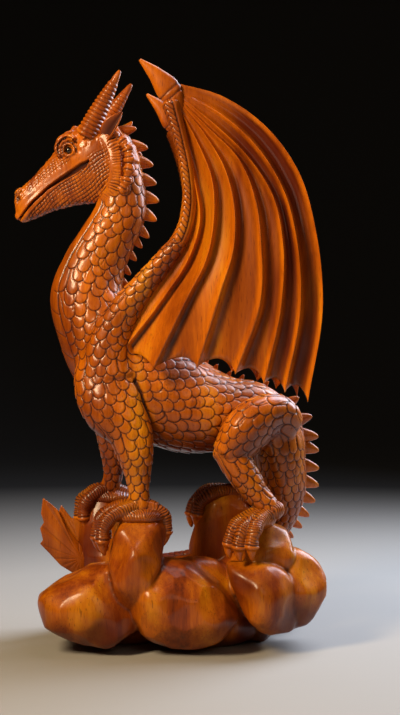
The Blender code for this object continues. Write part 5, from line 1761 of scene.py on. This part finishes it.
def seeded_rock(centre, half_sizes, heading, tip, seed):
    dice = np.random.default_rng(seed)
    normals = unit_rows(dice.normal(size=(ROCK_FACETS, 3)))
    reach = dice.uniform(0.86, 1.06, ROCK_FACETS)
    directions = sphere_directions(40, 60, 0.03)
    radius = np.clip(soft_facets(directions, normals, reach, ROCK_ROUNDNESS), 0.8, 1.12)[..., None]
    h, t = math.radians(heading), math.radians(tip)
    turn = np.array(((math.cos(h), math.sin(h), 0), (-math.sin(h), math.cos(h), 0), (0, 0, 1)))
    lean = np.array(((math.cos(t), 0, -math.sin(t)), (0, 1, 0), (math.sin(t), 0, math.cos(t))))
    return skin(directions * radius * np.array(half_sizes, float) @ lean @ turn + np.array(centre, float))


def faceted_rock(centre, facets):
    angles, leans, reach = np.array(facets, float).T
    angles, leans = np.radians(angles), np.radians(leans)
    normals = np.c_[np.cos(leans) * np.cos(angles), -np.sin(leans), np.cos(leans) * np.sin(angles)]
    directions = sphere_directions(60, 90, 0.03)
    radius = soft_facets(directions, normals, reach, ROCK_EDGE)[..., None]
    return skin(directions * radius + np.array(centre, float))


clay = [seeded_rock(*rock) for rock in ROCKS.values()] + [faceted_rock(*rock) for rock in CUT_ROCKS.values()]
rocks = pressed("rocks", clay, ROCK_VOXEL, 3)
places, normals = places_of(rocks)
dice = np.random.default_rng(8)
spots = places[dice.choice(len(places), SCOOPS, replace=False)]
to_spot = np.full(len(places), 1e9)
for spot in spots:
    to_spot = np.minimum(to_spot, ((places - spot) ** 2).sum(axis=1))
scoop = np.clip(to_spot / SCOOP_RADIUS / 2, 0, 2.4)
uneven = scoop - 1.2 + 0.6 * lattice_noise(places, 26, 61) + 0.3 * lattice_noise(places, 9, 62)
# Random stain, with painted shade on the lower parts, the back and the right-hand side, and the faces that
# turn upwards kept lighter as painted light
stain_and_shade = 0.75 * lattice_noise(places * (1, 1, 0.6), 34, 63)
stain_and_shade = stain_and_shade + 0.35 * lattice_noise(places * (1, 1, 0.3), 10, 64)
low = np.clip((52 - places[:, 2]) / 60, 0, 0.6)
behind = np.clip(places[:, 1] / 30, 0, 1) * 0.3 + np.clip((places[:, 0] - 10) / 60, 0, 0.3)
stain_and_shade = np.clip(stain_and_shade + low + behind, 0, 0.88) * np.clip(1.05 - normals[:, 2], 0.1, 1)
# Painted shade in the creases between boulders and other hollows
crease = np.clip(hollows_of(rocks, 12) / 0.8, 0, 0.95)
set_places(rocks, places + normals * uneven[:, None])
for layer, values in (("dark", stain_and_shade), ("cut_and_shade", crease), ("tint", 0.5)):
    set_layer(rocks, layer, values)
thinned(rocks, ROCK_TRIANGLES)
closed_up(sliced(rocks.data, (0, 0, SOLE_LIFT), (0, 0, -1), drop=True), rocks.data)
rocks.data.materials.append(ROCK)
PIECES.append(rocks)
print("rocks:", len(rocks.data.polygons), "faces")

# %% [markdown]
# Every carved piece is lacquered raintree, the rocks in a darker burl of it. The eye beads are the only
# other material: glossy black.

# %% Finish the pieces


def eye_bead_material():
    """Moulded black bead with a hard gloss."""
    made = bpy.data.materials.new("glossy_black_bead")
    made.use_nodes = True
    tree = made.node_tree
    shader = tree.nodes["Principled BSDF"]
    place = add(tree, "ShaderNodeTexCoord").outputs["Object"]
    speck = add(tree, "ShaderNodeTexNoise", {"Vector": place, "Scale": 600.0}).outputs["Fac"]
    tree.links.new(ramp(tree, speck, ((0.3, "#050403"), (0.7, "#140D08"))), shader.inputs["Base Color"])
    shader.inputs["Roughness"].default_value = 0.08
    shader.inputs["IOR"].default_value = 1.5
    shader.inputs["Coat Weight"].default_value = 1.0
    shader.inputs["Coat Roughness"].default_value = 0.03
    return made


BEAD = eye_bead_material()
for side, node in ((1, "left_eye_bead"), (-1, "right_eye_bead")):
    radius = EYE_BEAD_DIAMETER / 2
    centre = head_point(EYE_PLACE[0], EYE_PLACE[1], side * (EYE_PLACE[2] + EYE_BEAD_SHOWING - radius))
    bead = mesh_object(f"{node}_fine", *ellipsoid(centre, (radius,) * 3, np.eye(3), 28, 40))
    bead.data.materials.append(BEAD)
    bead.data.shade_smooth()
    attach(bead, "root")
    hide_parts(node)

for piece in PIECES:
    if not piece.data.materials:
        piece.data.materials.append(WOOD)
    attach(piece, "root")
    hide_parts("dragon_on_rocks")
total = sum(len(p.vertices) - 2 for piece in PIECES for p in piece.data.polygons)
print("pieces:", len(PIECES), "triangles:", total)

# %% [markdown]
# The studio: paper that is pale round the carving and darker further off, a painted falloff of light, and
# curves up into a wall all round, so that there is no horizon. A soft warm light stands in front to the
# left, a weak one in front to the right, a large cooler one behind to the right that brings out the lacquer
# on the spikes and the back of the neck, and a soft one above.

# %% Floor and light
FLOOR_RADIUS = 2.2
WALL_RADIUS = 3.6
WALL_HEIGHT = 3.2
PALE_TO, DARK_FROM = 0.45, 1.6
WORLD_STRENGTH = 0.05
turns = np.linspace(0, 2 * math.pi, 96, endpoint=False)
curve = WALL_RADIUS - FLOOR_RADIUS
profile = [(0.02, 0.0)]
for a in np.linspace(0, math.pi / 2, 14):
    profile.append((FLOOR_RADIUS + curve * math.sin(a), curve * (1 - math.cos(a))))
profile.append((WALL_RADIUS, WALL_HEIGHT))
rings = np.array([[(r * math.cos(a), r * math.sin(a), z) for a in turns] for r, z in profile])
count = len(turns)
faces = [
    (i * count + j, i * count + (j + 1) % count, (i + 1) * count + (j + 1) % count, (i + 1) * count + j)
    for i in range(len(profile) - 1) for j in range(count)
]
faces.append(tuple(range(count))[::-1])
floor = mesh_object("studio_floor", rings.reshape(-1, 3) / MM, faces)
floor.data.shade_smooth()
paper = bpy.data.materials.new("paper_with_painted_falloff")
paper.use_nodes = True
tree = paper.node_tree
place = add(tree, "ShaderNodeTexCoord").outputs["Object"]
# Painted falloff of light: the paper darkens with distance from the carving
away = add(tree, "ShaderNodeVectorMath", {0: place}, operation="LENGTH").outputs["Value"]
away = add(tree, "ShaderNodeMapRange", {"Value": away, "From Min": PALE_TO, "From Max": DARK_FROM})
shade = ramp(tree, away.outputs["Result"], ((0.0, "#A3A09B"), (1.0, "#1E1E20")))
tree.links.new(shade, tree.nodes["Principled BSDF"].inputs["Base Color"])
tree.nodes["Principled BSDF"].inputs["Roughness"].default_value = 0.9
floor.data.materials.append(paper)

world = bpy.context.scene.world or bpy.data.worlds.new("studio")
bpy.context.scene.world = world
world.use_nodes = True
background = world.node_tree.nodes["Background"]
background.inputs["Color"].default_value = linear("#9A9A9E")
background.inputs["Strength"].default_value = WORLD_STRENGTH


def soft_light(name, place, aim, size, power, colour):
    """A rectangular light at a place in metres, turned towards another."""
    data = bpy.data.lights.new(name, "AREA")
    data.shape = "RECTANGLE"
    data.size, data.size_y = size
    data.energy = power
    data.color = linear(colour)[:3]
    made = placed(name, data)
    made.location = place
    made.rotation_euler = (Vector(aim) - Vector(place)).to_track_quat("-Z", "Y").to_euler()


soft_light("key_light", (-0.75, -0.8, 1.0), (-0.04, 0, 0.36), (0.28, 0.5), 19, "#FFE2B4")
soft_light("front_fill", (0.5, -1.5, 0.9), (0, 0, 0.3), (0.7, 0.7), 1.8, "#FFE9CC")
soft_light("back_light", (0.75, 0.5, 0.95), (0.02, 0, 0.35), (0.8, 1.1), 30, "#E2ECFF")
soft_light("top_light", (0.25, 0.1, 1.5), (0.02, 0, 0.3), (0.7, 0.5), 5, "#F2F6FF")
bpy.context.scene.view_settings.view_transform = "Standard"

# %% [markdown]
# The camera stands level with the middle of the carving, 1.3 m away, and looks straight along +Y.

# %% Camera
CAMERA_DISTANCE = 1.3
CAMERA_HEIGHT = 0.283
FRAME_HEIGHT = 0.715
SENSOR = 36.0
camera_data = bpy.data.cameras.new("camera")
camera_data.sensor_fit = "AUTO"
camera_data.sensor_width = SENSOR
camera_data.lens = SENSOR * CAMERA_DISTANCE / FRAME_HEIGHT
camera = placed("camera", camera_data)
camera.location = (0, -CAMERA_DISTANCE, CAMERA_HEIGHT)
camera.rotation_euler = (math.pi / 2, 0, 0)
bpy.context.scene.camera = camera
